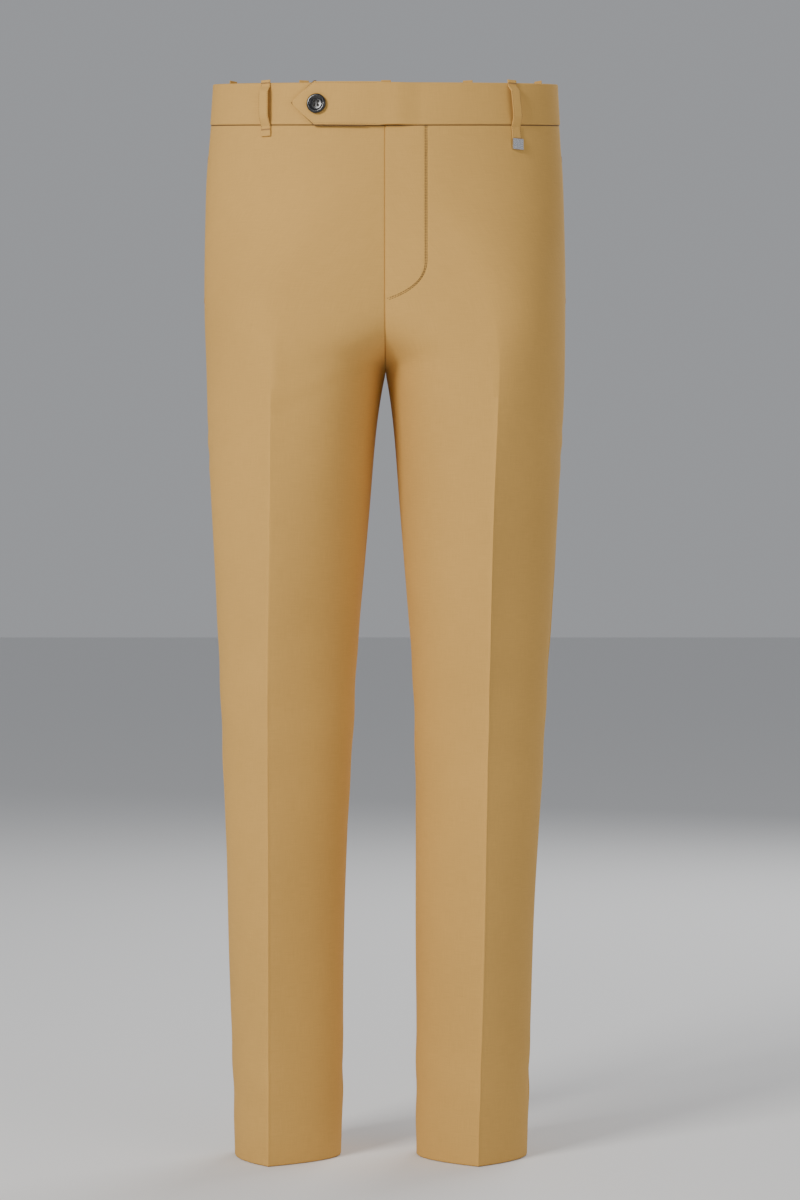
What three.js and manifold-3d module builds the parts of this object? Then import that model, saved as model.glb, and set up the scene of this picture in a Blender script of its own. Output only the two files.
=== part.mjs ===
// Men's flat-front dress trousers: cut cloth pieces, waistband, fly, zip, pockets and small hardware.
// Millimetres. +Z is up, the front faces -Y, and +X is the wearer's left.
// The origin is the middle of the waist opening, level with the waistband's top at the side seams.
import * as THREE from "three";
import { mergeVertices } from "three/addons/utils/BufferGeometryUtils.js";
import Module from "manifold-3d";

const wasm = await Module();
wasm.setup();
const { lerp, clamp, smoothstep } = THREE.MathUtils;

// ---- levels, as drops below the waistband's top at the side seam ----
const highHipDrop = 110;
const hipDrop = 215;
const forkDrop = 282; // where the legs part
const thighDrop = 417;
const kneeDrop = 600;
const calfDrop = 820;
const outseam = 1047; // down to the hem

// ---- outline of the two legs at: waist, high hip, hip, fork, thigh, knee, calf, hem ----
const waistHalfWidth = 168;
const levelDrops = [0, highHipDrop, hipDrop, forkDrop, thighDrop, kneeDrop, calfDrop, outseam];
// Each level's outer edge is graded from the waist: what it adds to the waist's half width.
const outerGrades = {
  right: [0, 7.5, 9, 7, 2, -6.5, -14.7, -20.5],
  left: [0, 6, 8, 7.5, 1, -10.5, -22.8, -29.3],
};
const fromWaist = (grades) => grades.map((grade) => waistHalfWidth + grade);
const outerHalfWidths = { right: fromWaist(outerGrades.right), left: fromWaist(outerGrades.left) };
// The inner edge of each leg's tube; above the fork it passes the middle and the tubes are cut there.
const innerHalfWidths = {
  right: [-waistHalfWidth, -waistHalfWidth - 2, -135, 0, 16, 30.5, 40, 43.6],
  left: [-waistHalfWidth, -waistHalfWidth - 2, -135, 0, 14.2, 27, 30.3, 30.3],
};
const frontCreases = {
  right: [0, 30, 95, 107, 109, 112, 112, 112],
  left: [0, 30, 95, 107, 103, 99, 94.6, 89],
};
const backCreases = [0, 30, 80, 84, 80, 80, 80, 80];
const frontDepths = [100, 99.1, 104.8, 108, 98, 84, 75, 69];
const backDepths = [96, 128, 150, 128, 104, 84, 76, 71];
const inseamSetbacks = [0, 0, 5, 14, 6, 0, 0, 0];
// 2 is a round tube, more is fuller, and 1 comes to a sharp crease.
const outerRoundness = [2, 2, 2, 1.5, 1.15, 1, 1, 1];
const innerRoundness = [2, 2, 2.2, 2.8, 1.8, 1.2, 1, 1];
const pressing = [0, 0, 0, 0.1, 0.22, 0.12, 0, 0]; // how far a crease is pressed into a round tube

// ---- cloth plies and clearances ----
const ply = 1.2; // outer cloth
const lining = 0.8;
const gap = 0.3; // clearance between neighbouring pieces

// ---- waistband ----
const bandHeight = 40;
const bandThickness = 2.4;
const bandProud = 0.8; // how far the band stands out past the cloth below it
const frontDip = 15.5; // how far the waist drops at centre front
const backRise = 19; // and rises at centre back
const curtainDrop = 38; // lining below the band's seam

// ---- fly and zip ----
const flyWidth = 40; // centre front to the fold, at the waist seam
const flyDrop = 222; // where the fold meets centre front
const flapFootDrop = 190; // the flap's free edge ends here
const zipSetback = 6; // zip line from centre front
const zipBottomDrop = 205;
const zipSplitDrop = 165; // the left half of the zip leaves the fold below this
const toothReach = 2.3;
const toothThickness = 2;
const toothPitch = 5;
const rowGap = 2.2; // between the unmeshed rows
const tapeWidth = 12;
const tapeThickness = 0.6;
const sliderWall = 0.8;
const sliderLength = 12;
const pullLength = 19;
const pullThickness = 0.7;
const shieldThickness = 0.8;

// ---- closure tab, button, hook and bar ----
const tabShoulder = 66.4; // centre front to where the point starts
const tabPoint = 20.6;
const tabThickness = 1.7;
const tabOversize = 0.6; // the tab stands this far past the band's two edges
const buttonRadius = 9.5;
const buttonThickness = 3.2;
const buttonSetback = 63.6;
const buttonDrop = 21;
const threadHoleRadius = 1.15;
const threadHoleSpacing = 3.6;
const hookThickness = 0.6;
const hookSetback = 52;

// ---- belt loops and tag ----
const loopWidth = 10;
const loopThickness = 1.3;
const loopStandoff = 4.6; // room for a belt
const loopFoot = 14; // from the band's seam down to a loop's lower end
const loopFold = 2.5; // a loop's upper end stands this far over the band
const tagOverhang = 4.5; // the tag hangs this far below its loop
const loopFootGap = 0.5; // over the cloth, which curves under the foot
const tagSide = 0.4; // its walls beside the loop
const tagHeight = 10.2;
const tagWall = 0.7;

// ---- pockets and hems ----
const weltLength = 130;
const weltHeight = 6;
const weltDrop = 92;
const weltMiddle = 88; // seat seam to the welt's middle
const backButtonRadius = 7.5;
const hemDepth = 40;

// ---- finishes ----
const finish = (color, roughness, metalness = 0) => ({ color, roughness, metalness });
const cloth = finish("#c1a070", 0.9);
const liningCloth = finish("#d8ccb2", 0.85);
const pocketing = finish("#cfc3a6", 0.9);
const tape = finish("#b2925f", 0.85);
const brass = finish("#b99a5b", 0.35, 1);
const steel = finish("#b9bcc0", 0.3, 1);
const blackHorn = finish("#0c0c0d", 0.15);
const brownHorn = finish("#8c6c43", 0.3);
const thread = finish("#17130f", 0.8);

const startSlope = 0.6; // how far the flare below the waist has begun at its top edge

// A smooth curve through the values at the levels, with no overshoot between them.
function profile(values) {
  const slopes = values.map((_, i) => {
    if (i === 0) return (startSlope * (values[1] - values[0])) / levelDrops[1];
    if (i === values.length - 1) return 0;
    const before = (values[i] - values[i - 1]) / (levelDrops[i] - levelDrops[i - 1]);
    const after = (values[i + 1] - values[i]) / (levelDrops[i + 1] - levelDrops[i]);
    return before * after > 0 ? (2 * before * after) / (before + after) : 0;
  });
  const last = values.length - 2;
  slopes[last + 1] = (values[last + 1] - values[last]) / (levelDrops[last + 1] - levelDrops[last]);
  return (z) => {
    const drop = clamp(-z, 0, outseam);
    let i = 0;
    while (i < last && drop > levelDrops[i + 1]) i++;
    const span = levelDrops[i + 1] - levelDrops[i];
    const t = (drop - levelDrops[i]) / span;
    const hermite = [(1 + 2 * t) * (1 - t) ** 2, t * (1 - t) ** 2 * span, t * t * (3 - 2 * t), t * t * (t - 1) * span];
    return hermite[0] * values[i] + hermite[1] * slopes[i] + hermite[2] * values[i + 1] + hermite[3] * slopes[i + 1];
  };
}

const sign = { right: -1, left: 1 };
const outerLine = { right: profile(outerHalfWidths.right), left: profile(outerHalfWidths.left) };
const innerLine = { right: profile(innerHalfWidths.right), left: profile(innerHalfWidths.left) };
const frontCrease = { right: profile(frontCreases.right), left: profile(frontCreases.left) };
const backCrease = profile(backCreases);
const frontDepth = profile(frontDepths);
const backDepth = profile(backDepths);
const inseamSetback = profile(inseamSetbacks);
const outerRound = profile(outerRoundness);
const innerRound = profile(innerRoundness);
const pressed = profile(pressing);

const creaseAt = (side, front, z) => (front ? frontCrease[side](z) : backCrease(z));
const depthAt = (front, z) => (front ? -frontDepth(z) : backDepth(z));


// How far in a point lies, from its share of the way, reach, between the crease and the seam.
function faceY(front, medial, reach, rise, z) {
  const seamY = medial ? inseamSetback(z) : 0;
  return seamY + (depthAt(front, z) - seamY) * (rise - pressed(z) * reach * (1 - reach) ** 2);
}

// The cloth's outer face. The angle is 0 at the side seam, a quarter turn at the crease, half a turn at the inseam.
function bodyPoint(side, front, angle, z) {
  const crease = creaseAt(side, front, z);
  const medial = angle > Math.PI / 2;
  const edge = medial ? innerLine[side](z) : outerLine[side](z);
  const round = medial ? innerRound(z) : outerRound(z);
  const reach = Math.abs(Math.cos(angle)) ** (2 / round);
  const out = crease + (edge - crease) * reach;
  return new THREE.Vector3(sign[side] * out, faceY(front, medial, reach, Math.sin(angle), z), z);
}

// The angle at which a leg's tube meets the middle seam, or its inseam below the fork.
function endAngle(side, front, z) {
  const edge = innerLine[side](z);
  if (edge >= 0) return Math.PI;
  const crease = creaseAt(side, front, z);
  const share = (crease / (crease - edge)) ** innerRound(z);
  return Math.PI - Math.asin(Math.sqrt(1 - share));
}

function bodyNormal(side, front, angle, z) {
  const turn = 0.02;
  const rise = 1;
  const across = bodyPoint(side, front, angle + turn, z).sub(bodyPoint(side, front, angle - turn, z));
  const down = bodyPoint(side, front, angle, z + rise).sub(bodyPoint(side, front, angle, z - rise));
  const normal = across.cross(down).normalize();
  const middle = (sign[side] * (outerLine[side](z) + innerLine[side](z))) / 2;
  const outward = bodyPoint(side, front, angle, z).sub(new THREE.Vector3(middle, 0, z));
  return normal.dot(outward) < 0 ? normal.negate() : normal;
}

// A place on a front or back panel: u is 0 at the side seam and 1 at the middle seam or inseam.
function panelPlace(side, front, u, drop) {
  const fade = clamp((hipDrop - drop) / (hipDrop - bandHeight), 0, 1);
  const tilt = (front ? -frontDip : backRise) * Math.sin((u * Math.PI) / 2) * fade;
  const z = tilt - drop;
  const end = endAngle(side, front, z);
  const creased = u < 0.5 ? Math.PI * u : lerp(Math.PI / 2, end, 2 * u - 1);
  const angle = lerp(end * u, creased, smoothstep(drop, bandHeight, hipDrop));
  return { point: bodyPoint(side, front, angle, z), normal: bodyNormal(side, front, angle, z) };
}

// A place on the front or back, straight in from (x, z).
function facePoint(front, x, z) {
  const side = x < 0 ? "right" : "left";
  const crease = creaseAt(side, front, z);
  const medial = Math.abs(x) < crease;
  const edge = medial ? innerLine[side](z) : outerLine[side](z);
  const reach = clamp((Math.abs(x) - crease) / (edge - crease), 0, 1);
  const rise = Math.sqrt(1 - reach ** (medial ? innerRound(z) : outerRound(z)));
  return new THREE.Vector3(x, faceY(front, medial, reach, rise, z), z);
}

function facePlace(front, x, z) {
  const across = facePoint(front, x + 1, z).sub(facePoint(front, x - 1, z));
  const down = facePoint(front, x, z + 1).sub(facePoint(front, x, z - 1));
  const normal = across.cross(down).normalize();
  if (normal.y * (front ? -1 : 1) < 0) normal.negate();
  return { point: facePoint(front, x, z), normal };
}

// The height of the waistband's top edge, straight in from x.
function bandTop(front, x) {
  const share = clamp(1 - (x / waistHalfWidth) ** 2, 0, 1);
  return (front ? -frontDip : backRise) * Math.sqrt(share);
}

// ---- solids ----
function toManifold(geometry) {
  const bare = geometry.clone();
  for (const name of Object.keys(bare.attributes)) if (name !== "position") bare.deleteAttribute(name);
  const merged = mergeVertices(bare, 1e-4);
  const triVerts = new Uint32Array(merged.index.array);
  const vertProperties = new Float32Array(merged.attributes.position.array);
  return new wasm.Manifold(new wasm.Mesh({ numProp: 3, vertProperties, triVerts }));
}

function toGeometry(solid) {
  const { vertProperties, triVerts } = solid.getMesh();
  const geometry = new THREE.BufferGeometry();
  geometry.setAttribute("position", new THREE.BufferAttribute(new Float32Array(vertProperties), 3));
  geometry.setIndex(new THREE.BufferAttribute(new Uint32Array(triVerts), 1));
  geometry.computeVertexNormals();
  return geometry;
}

function joined(...geometries) {
  return toGeometry(geometries.map(toManifold).reduce((whole, part) => whole.add(part)));
}

function signedVolume(points, triangles) {
  let volume = 0;
  for (let i = 0; i < triangles.length; i += 3) {
    const [a, b, c] = [points[triangles[i]], points[triangles[i + 1]], points[triangles[i + 2]]];
    volume += a.dot(b.clone().cross(c));
  }
  return volume;
}

// A closed ply of cloth: a grid of places, with one face at the outer and one at the inner offset.
function sheet({ columns, rows, place, outer, inner, trim = (point) => point, ring = false }) {
  const at = (value, u, v, point) => (typeof value === "function" ? value(u, v, point) : value);
  const stride = ring ? columns : columns + 1;
  const faceSize = stride * (rows + 1);
  const points = [];
  for (const level of [outer, inner])
    for (let row = 0; row <= rows; row++)
      for (let column = 0; column < stride; column++) {
        const [u, v] = [column / columns, row / rows];
        const { point, normal } = place(u, v);
        points.push(trim(point.clone().addScaledVector(normal, at(level, u, v, point)), u, v));
      }
  const id = (face, row, column) => face * faceSize + row * stride + (column % stride);
  const triangles = [];
  const quad = (a, b, c, d) => triangles.push(a, b, c, a, c, d);
  for (let row = 0; row < rows; row++)
    for (let column = 0; column < columns; column++) {
      quad(id(0, row, column), id(0, row, column + 1), id(0, row + 1, column + 1), id(0, row + 1, column));
      quad(id(1, row, column), id(1, row + 1, column), id(1, row + 1, column + 1), id(1, row, column + 1));
    }
  for (let column = 0; column < columns; column++) {
    quad(id(0, 0, column), id(1, 0, column), id(1, 0, column + 1), id(0, 0, column + 1));
    quad(id(0, rows, column), id(0, rows, column + 1), id(1, rows, column + 1), id(1, rows, column));
  }
  for (let row = 0; row < rows && !ring; row++) {
    quad(id(0, row, 0), id(0, row + 1, 0), id(1, row + 1, 0), id(1, row, 0));
    quad(id(0, row, columns), id(1, row, columns), id(1, row + 1, columns), id(0, row + 1, columns));
  }
  if (signedVolume(points, triangles) < 0) triangles.reverse();
  const geometry = new THREE.BufferGeometry().setFromPoints(points);
  geometry.setIndex(triangles);
  return geometry;
}

// A box centred in X, from y0 to y1 and z0 to z1.
function block(x0, x1, y0, y1, z0, z1) {
  const box = new THREE.BoxGeometry(x1 - x0, y1 - y0, z1 - z0);
  return box.translate((x0 + x1) / 2, (y0 + y1) / 2, (z0 + z1) / 2);
}

// A flat plate cut to a shape drawn in X and Z, from y = 0 towards +Y.
function plate(shape, thickness, curveSegments = 6) {
  const geometry = new THREE.ExtrudeGeometry(shape, { depth: thickness, bevelEnabled: false, curveSegments });
  return geometry.rotateX(Math.PI / 2).translate(0, thickness, 0);
}

function roundedShape(width, height, radius, middleZ = 0) {
  const [x, z] = [width / 2, height / 2];
  const shape = new THREE.Shape();
  shape.moveTo(-x + radius, middleZ - z);
  shape.lineTo(x - radius, middleZ - z);
  shape.quadraticCurveTo(x, middleZ - z, x, middleZ - z + radius);
  shape.lineTo(x, middleZ + z - radius);
  shape.quadraticCurveTo(x, middleZ + z, x - radius, middleZ + z);
  shape.lineTo(-x + radius, middleZ + z);
  shape.quadraticCurveTo(-x, middleZ + z, -x, middleZ + z - radius);
  shape.lineTo(-x, middleZ - z + radius);
  shape.quadraticCurveTo(-x, middleZ - z, -x + radius, middleZ - z);
  return shape;
}

function mesh(name, geometry, look) {
  const made = new THREE.Mesh(geometry, new THREE.MeshStandardMaterial(look));
  made.name = name;
  return made;
}

// Puts a mesh that faces +Y on the cloth, facing out along the normal.
function seat(made, { point, normal }, offset) {
  const up = new THREE.Vector3(0, 0, 1).addScaledVector(normal, -normal.z).normalize();
  const across = new THREE.Vector3().crossVectors(normal, up);
  made.quaternion.setFromRotationMatrix(new THREE.Matrix4().makeBasis(across, normal, up));
  made.position.copy(point).addScaledVector(normal, offset);
  return made;
}

// ---- panels ----
const upperShares = [0, 0.06, 0.12, 0.2, 0.29, 0.39, 0.5, 0.61, 0.71, 0.8, 0.88, 0.94, 0.975, 1];
const legSteps = 10;
const upperDrops = upperShares.map((share) => lerp(bandHeight + gap, forkDrop, share));
const legDrops = Array.from({ length: legSteps }, (_, k) =>
  lerp(forkDrop, outseam - hemDepth, ((k + 1) / legSteps) ** 1.25)
);
const rowDrops = [...upperDrops, ...legDrops, outseam];
const panelColumns = 14;

// Keeps a seam's clearance between neighbouring panels, and the hem flat.
function panelTrim(side, front) {
  return (point, u, drop) => {
    const seamY = u < 0.5 ? 0 : inseamSetback(point.z);
    point.x = sign[side] * Math.max(sign[side] * point.x, gap / 2);
    point.y = front ? Math.min(point.y, seamY - gap / 2) : Math.max(point.y, seamY + gap / 2);
    if (drop === outseam) point.z = -outseam;
    return point;
  };
}

// Part of a panel's own grid, between two of its columns and two of its rows.
function panelPatch(side, front, [firstColumn, lastColumn], [firstRow, lastRow], outer, inner) {
  const [columns, rows] = [lastColumn - firstColumn, lastRow - firstRow];
  const columnAt = (u) => (firstColumn + u * columns) / panelColumns;
  const dropAt = (v) => rowDrops[Math.round(firstRow + v * rows)];
  const trim = panelTrim(side, front);
  return sheet({
    columns,
    rows,
    outer,
    inner,
    place: (u, v) => panelPlace(side, front, columnAt(u), dropAt(v)),
    trim: (point, u, v) => trim(point, columnAt(u), dropAt(v)),
  });
}

const panel = (side, front) => panelPatch(side, front, [0, panelColumns], [0, rowDrops.length - 1], 0, -ply);

// ---- the fold that the fly opens about ----
const seamZ = -frontDip - bandHeight;
const foldX = (z) => (flyWidth * (z + flyDrop)) / (seamZ + flyDrop);
const farAway = 400;

// A block of space on the fly's side of the fold, moved over by a clearance, above a foot.
function flySpace(clearance, footZ) {
  const topZ = 60;
  const shape = new THREE.Shape();
  shape.moveTo(foldX(footZ) + clearance, footZ);
  shape.lineTo(foldX(topZ) + clearance, topZ);
  shape.lineTo(-farAway, topZ);
  shape.lineTo(-farAway, footZ);
  return toManifold(plate(shape, farAway).translate(0, -farAway, 0));
}

// Splits a piece that crosses the fold into its part on the flap and its part on the trousers.
function splitAtFold(geometry, footDrop) {
  const whole = toManifold(geometry);
  return {
    moving: toGeometry(whole.intersect(flySpace(-gap, -footDrop))),
    fixed: toGeometry(whole.subtract(flySpace(gap, -footDrop - 2 * gap))),
  };
}

// ---- waistband ----
// w is 0 at centre back, a half at the side seam and 1 at centre front.
function bandPlace(side, w, drop) {
  const front = w > 0.5;
  const u = Math.abs(w - 0.5) * 2;
  const z = (front ? -frontDip : backRise) * Math.sin((u * Math.PI) / 2) - drop;
  const angle = u * endAngle(side, front, z);
  return { point: bodyPoint(side, front, angle, z), normal: bodyNormal(side, front, angle, z) };
}

function bandTrim(side) {
  return (point) => {
    point.x = sign[side] * Math.max(sign[side] * point.x, gap / 2);
    return point;
  };
}

const bandColumns = 28;
const bandRows = 3;

// A ring of cloth round half the waist, between two of the band's columns.
function band(side, from, to, topDrop, bottomDrop, outer, inner, rows = bandRows) {
  return sheet({
    columns: to - from,
    rows,
    outer,
    inner,
    place: (u, v) => bandPlace(side, lerp(from, to, u) / bandColumns, lerp(topDrop, bottomDrop, v)),
    trim: bandTrim(side),
  });
}

// The left band rises near centre front, to lie level with the tab that grows out of it.
const tabStandoff = 2 * hookThickness + 3 * gap;
const tabOuter = bandProud + tabStandoff + tabThickness;
const riseStart = 36;
const riseEnd = 8;
const bandRise = (x) => (tabOuter - bandProud) * (1 - smoothstep(Math.abs(x), riseEnd, riseStart));

function makeWaistband() {
  const group = new THREE.Group();
  const inner = bandProud - bandThickness;
  group.add(mesh("waistband_right", band("right", 0, bandColumns, 0, bandHeight, bandProud, inner), cloth));
  const left = band(
    "left", 0, bandColumns, 0, bandHeight,
    (u, v, point) => bandProud + (u > 0.5 ? bandRise(point.x) : 0),
    (u, v, point) => inner + (u > 0.5 ? bandRise(point.x) : 0)
  );
  const { moving, fixed } = splitAtFold(left, flapFootDrop);
  group.add(mesh("waistband_left", fixed, cloth));
  group.userData.flap = mesh("fly_waistband", moving, cloth);

  const curtainOuter = inner - gap;
  const underPanel = Math.min(curtainOuter, -ply - 4 * gap);
  const rowHeight = bandHeight / bandRows;
  const curtainRows = bandRows - 1 + Math.round(curtainDrop / rowHeight);
  const curtainFace = (u, v) => (v * curtainRows < bandRows - 1.5 ? curtainOuter : underPanel);
  const curtain = (side, to) =>
    band(side, 0, to, rowHeight, rowHeight * (curtainRows + 1), curtainFace, (u, v) => curtainFace(u, v) - lining, curtainRows);
  group.add(mesh("waistband_curtain_right", curtain("right", 26), liningCloth));
  group.add(mesh("waistband_curtain_left", curtain("left", 23), liningCloth));
  return group;
}

// The end of the right band that lies behind the left one and carries the fly shield.
const underlapEnd = 36;
const underlapStart = -8;
const underlapOuter = bandProud - bandThickness - gap;

function makeUnderlap() {
  const underlapThickness = 1.6;
  const edge = 1.5;
  return mesh(
    "waistband_underlap",
    sheet({
      columns: 6,
      rows: 2,
      outer: underlapOuter,
      inner: underlapOuter - underlapThickness,
      place: (u, v) => {
        const x = lerp(underlapStart, underlapEnd, u);
        return facePlace(true, x, bandTop(true, x) - lerp(edge, bandHeight - edge, v));
      },
    }),
    cloth
  );
}

// ---- fly ----
// The zip runs straight down, behind the deepest point of the cloth in front of it.
const zipTopZ = seamZ - 3;
const zipBottomZ = -zipBottomDrop;
const clothBackY = Math.max(...[0, 0.25, 0.5, 0.75, 1].map((t) => facePoint(true, zipSetback, lerp(zipTopZ, zipBottomZ, t)).y)) + ply;
const pullY = clothBackY + gap;
const platesY = pullY + pullThickness + gap;
const toothY = platesY + sliderWall + gap;
const zipY = toothY + toothThickness / 2;
const backPlateY = toothY + toothThickness + gap;
const shieldY = backPlateY + sliderWall + gap;

function toothRow(direction, topZ, bottomZ) {
  const root = direction * (rowGap / 2 + toothReach);
  const tip = direction * (rowGap / 2);
  const neck = direction * (rowGap / 2 + toothReach / 2);
  const count = Math.floor((topZ - bottomZ) / toothPitch);
  const shape = new THREE.Shape();
  shape.moveTo(root, bottomZ);
  for (let k = 0; k < count; k++) {
    const z = bottomZ + k * toothPitch;
    shape.lineTo(tip, z);
    shape.lineTo(tip, z + toothPitch / 2);
    shape.lineTo(neck, z + toothPitch / 2);
    shape.lineTo(neck, z + toothPitch);
  }
  shape.lineTo(root, bottomZ + count * toothPitch);
  return plate(shape, toothThickness).translate(zipSetback, toothY, 0);
}

// A tape from the tooth row to where it is sewn under the cloth.
function zipTape(direction, cover, topZ, bottomZ) {
  const start = zipSetback + direction * (rowGap / 2 + toothReach + gap);
  const end = start + direction * tapeWidth;
  const sewnShare = 0.6;
  return sheet({
    columns: 4,
    rows: 10,
    outer: 0,
    inner: -tapeThickness,
    place: (u, v) => {
      const x = lerp(start, end, u);
      const z = lerp(topZ, bottomZ, v);
      const sewnY = facePoint(true, x, z).y + cover;
      const y = lerp(zipY - tapeThickness / 2, sewnY, smoothstep(u, 0, sewnShare));
      return { point: new THREE.Vector3(x, y, z), normal: new THREE.Vector3(0, -1, 0) };
    },
  });
}

const facingCover = ply + gap;
const facingThickness = 0.6;

function flyFacing() {
  const start = zipSetback + 1.5;
  const end = flyWidth - 2;
  return sheet({
    columns: 5,
    rows: 10,
    outer: -facingCover,
    inner: -facingCover - facingThickness,
    place: (u, v) => facePlace(true, lerp(start, end, u), lerp(seamZ - gap, zipBottomZ, v)),
  });
}

function flyShield() {
  const start = -12;
  const end = 36;
  const sewnCover = facingCover + tapeThickness + gap;
  const sewnShare = 0.23;
  return sheet({
    columns: 16,
    rows: 10,
    outer: 0,
    inner: -shieldThickness,
    place: (u, v) => {
      const x = lerp(start, end, u);
      const z = lerp(seamZ + 2, zipBottomZ - 4, v);
      const sewnY = facePoint(true, x, z).y + sewnCover;
      const y = lerp(sewnY, shieldY, smoothstep(u, 0.02, sewnShare));
      return { point: new THREE.Vector3(x, y, z), normal: new THREE.Vector3(0, -1, 0) };
    },
  });
}

// The slider's front plate covers the right row only, so the left row can swing out of it with the flap.
const sliderHalf = rowGap / 2 + toothReach + 0.7;
const postHalf = 0.3;
const lugWidth = 0.5;
const lugTop = -0.5;
const lugHeight = 2.5;
const pullMiddle = (postHalf - sliderHalf) / 2;
const pullWidth = postHalf + sliderHalf - 2 * lugWidth - 2 * gap;
const pivotDrop = 1.8;

function zipSlider() {
  const frontY = platesY - zipY;
  const backY = backPlateY - zipY;
  const [overlap, lugY, lugFoot] = [sliderWall / 2, pullY - zipY, lugTop - lugHeight];
  const postHeight = 4;
  return joined(
    block(-sliderHalf, postHalf, frontY, frontY + sliderWall, -sliderLength, 0),
    block(-sliderHalf, sliderHalf, backY, backY + sliderWall, -sliderLength, 0),
    block(-postHalf, postHalf, frontY + overlap, backY + overlap, -postHeight, 0),
    block(-sliderHalf, -sliderHalf + lugWidth, lugY, frontY + overlap, lugFoot, lugTop),
    block(postHalf - lugWidth, postHalf, lugY, frontY + overlap, lugFoot, lugTop)
  );
}

function zipPull() {
  const abovePivot = 0.3;
  const shape = roundedShape(pullWidth, pullLength, 0.9, abovePivot - pullLength / 2);
  const hole = new THREE.Path();
  const [holeDrop, holeHalfWidth, holeHalfHeight] = [pullLength - 4, 0.6, 1.6];
  hole.absellipse(0, -holeDrop, holeHalfWidth, holeHalfHeight, 0, Math.PI * 2);
  shape.holes.push(hole);
  return plate(shape, pullThickness).translate(0, -pullThickness / 2, 0);
}

function makeFly(flapWaistband) {
  const flap = new THREE.Group();
  const fixed = new THREE.Group();
  const front = splitAtFold(panel("left", true), flapFootDrop);
  flap.add(mesh("fly_flap", front.moving, cloth), flapWaistband);
  fixed.add(mesh("left_front_panel", front.fixed, cloth));

  const facing = splitAtFold(flyFacing(), zipSplitDrop);
  flap.add(mesh("fly_facing", facing.moving, cloth));
  fixed.add(mesh("fly_facing_base", facing.fixed, cloth));

  const tapeCover = facingCover + facingThickness + gap;
  const leftTape = splitAtFold(zipTape(1, tapeCover, zipTopZ, zipBottomZ), zipSplitDrop);
  flap.add(mesh("zip_tape_left", leftTape.moving, tape));
  fixed.add(mesh("zip_tape_left_base", leftTape.fixed, tape));
  fixed.add(mesh("zip_tape_right", zipTape(-1, facingCover, zipTopZ, zipBottomZ), tape));

  flap.add(mesh("zip_teeth_left", toothRow(1, zipTopZ - 2, -zipSplitDrop), brass));
  fixed.add(mesh("zip_teeth_left_base", toothRow(1, -zipSplitDrop - 2 * gap, zipBottomZ), brass));
  fixed.add(mesh("zip_teeth_right", toothRow(-1, zipTopZ - 2, zipBottomZ), brass));

  const stopHalf = rowGap / 2 + toothReach;
  const stop = block(-stopHalf, stopHalf, -toothThickness / 2, toothThickness / 2, -2.5, 0);
  const bottomStop = mesh("zip_bottom_stop", stop, brass);
  bottomStop.position.set(zipSetback, zipY, zipBottomZ - gap);
  fixed.add(bottomStop, mesh("fly_shield", flyShield(), cloth));

  const slider = new THREE.Group();
  slider.position.set(zipSetback, zipY, zipTopZ);
  slider.add(mesh("zip_slider", zipSlider(), brass));
  const pull = mesh("zip_pull", zipPull(), brass);
  pull.position.set(pullMiddle, pullY + pullThickness / 2 - zipY, -pivotDrop);
  slider.add(pull);
  fixed.add(slider);
  return { flap, fixed };
}

// ---- closure tab ----
function closureTab() {
  const root = -gap / 2;
  const tipRounding = 0.08;
  return sheet({
    columns: 10,
    rows: 8,
    outer: tabOuter,
    inner: tabOuter - tabThickness,
    place: (u, v) => {
      const offCentre = Math.sqrt((2 * v - 1) ** 2 + tipRounding ** 2) - tipRounding;
      const x = lerp(root, -tabShoulder - tabPoint * (1 - offCentre), u);
      return facePlace(true, x, bandTop(true, x) - lerp(-tabOversize, bandHeight + tabOversize, v));
    },
  });
}

function buttonGeometry(radius, thickness) {
  const dish = 0.34 * thickness;
  const profilePoints = [
    [0, 0],
    [radius * 0.86, 0],
    [radius, thickness * 0.25],
    [radius, thickness * 0.7],
    [radius * 0.93, thickness * 0.95],
    [radius * 0.8, thickness],
    [radius * 0.66, thickness * 0.9],
    [radius * 0.58, thickness - dish],
    [0, thickness - dish],
  ].map(([r, y]) => new THREE.Vector2(r, y));
  let solid = toManifold(new THREE.LatheGeometry(profilePoints, 20));
  if (solid.volume() < 0) throw new Error("inside-out button");
  for (const x of [-1, 1])
    for (const z of [-1, 1]) {
      const hole = new THREE.CylinderGeometry(threadHoleRadius, threadHoleRadius, thickness * 3, 6);
      hole.translate((x * threadHoleSpacing) / 2, 0, (z * threadHoleSpacing) / 2);
      solid = solid.subtract(toManifold(hole));
    }
  return toGeometry(solid);
}

const threadPad = 0.4;

function buttonThread(thickness) {
  const dish = 0.34 * thickness;
  const strand = 0.6;
  const reach = threadHoleSpacing / 2;
  const faceY = threadPad + gap + thickness - dish;
  const pieces = [new THREE.CylinderGeometry(4, 4, threadPad, 12).translate(0, threadPad / 2, 0)];
  for (const x of [-reach, reach]) {
    for (const z of [-reach, reach]) pieces.push(block(x - strand, x + strand, threadPad / 2, faceY + gap + 0.4, z - strand, z + strand));
    pieces.push(block(x - strand, x + strand, faceY + gap, faceY + gap + 2 * strand / 1.5, -reach, reach));
  }
  return joined(...pieces);
}

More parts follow.
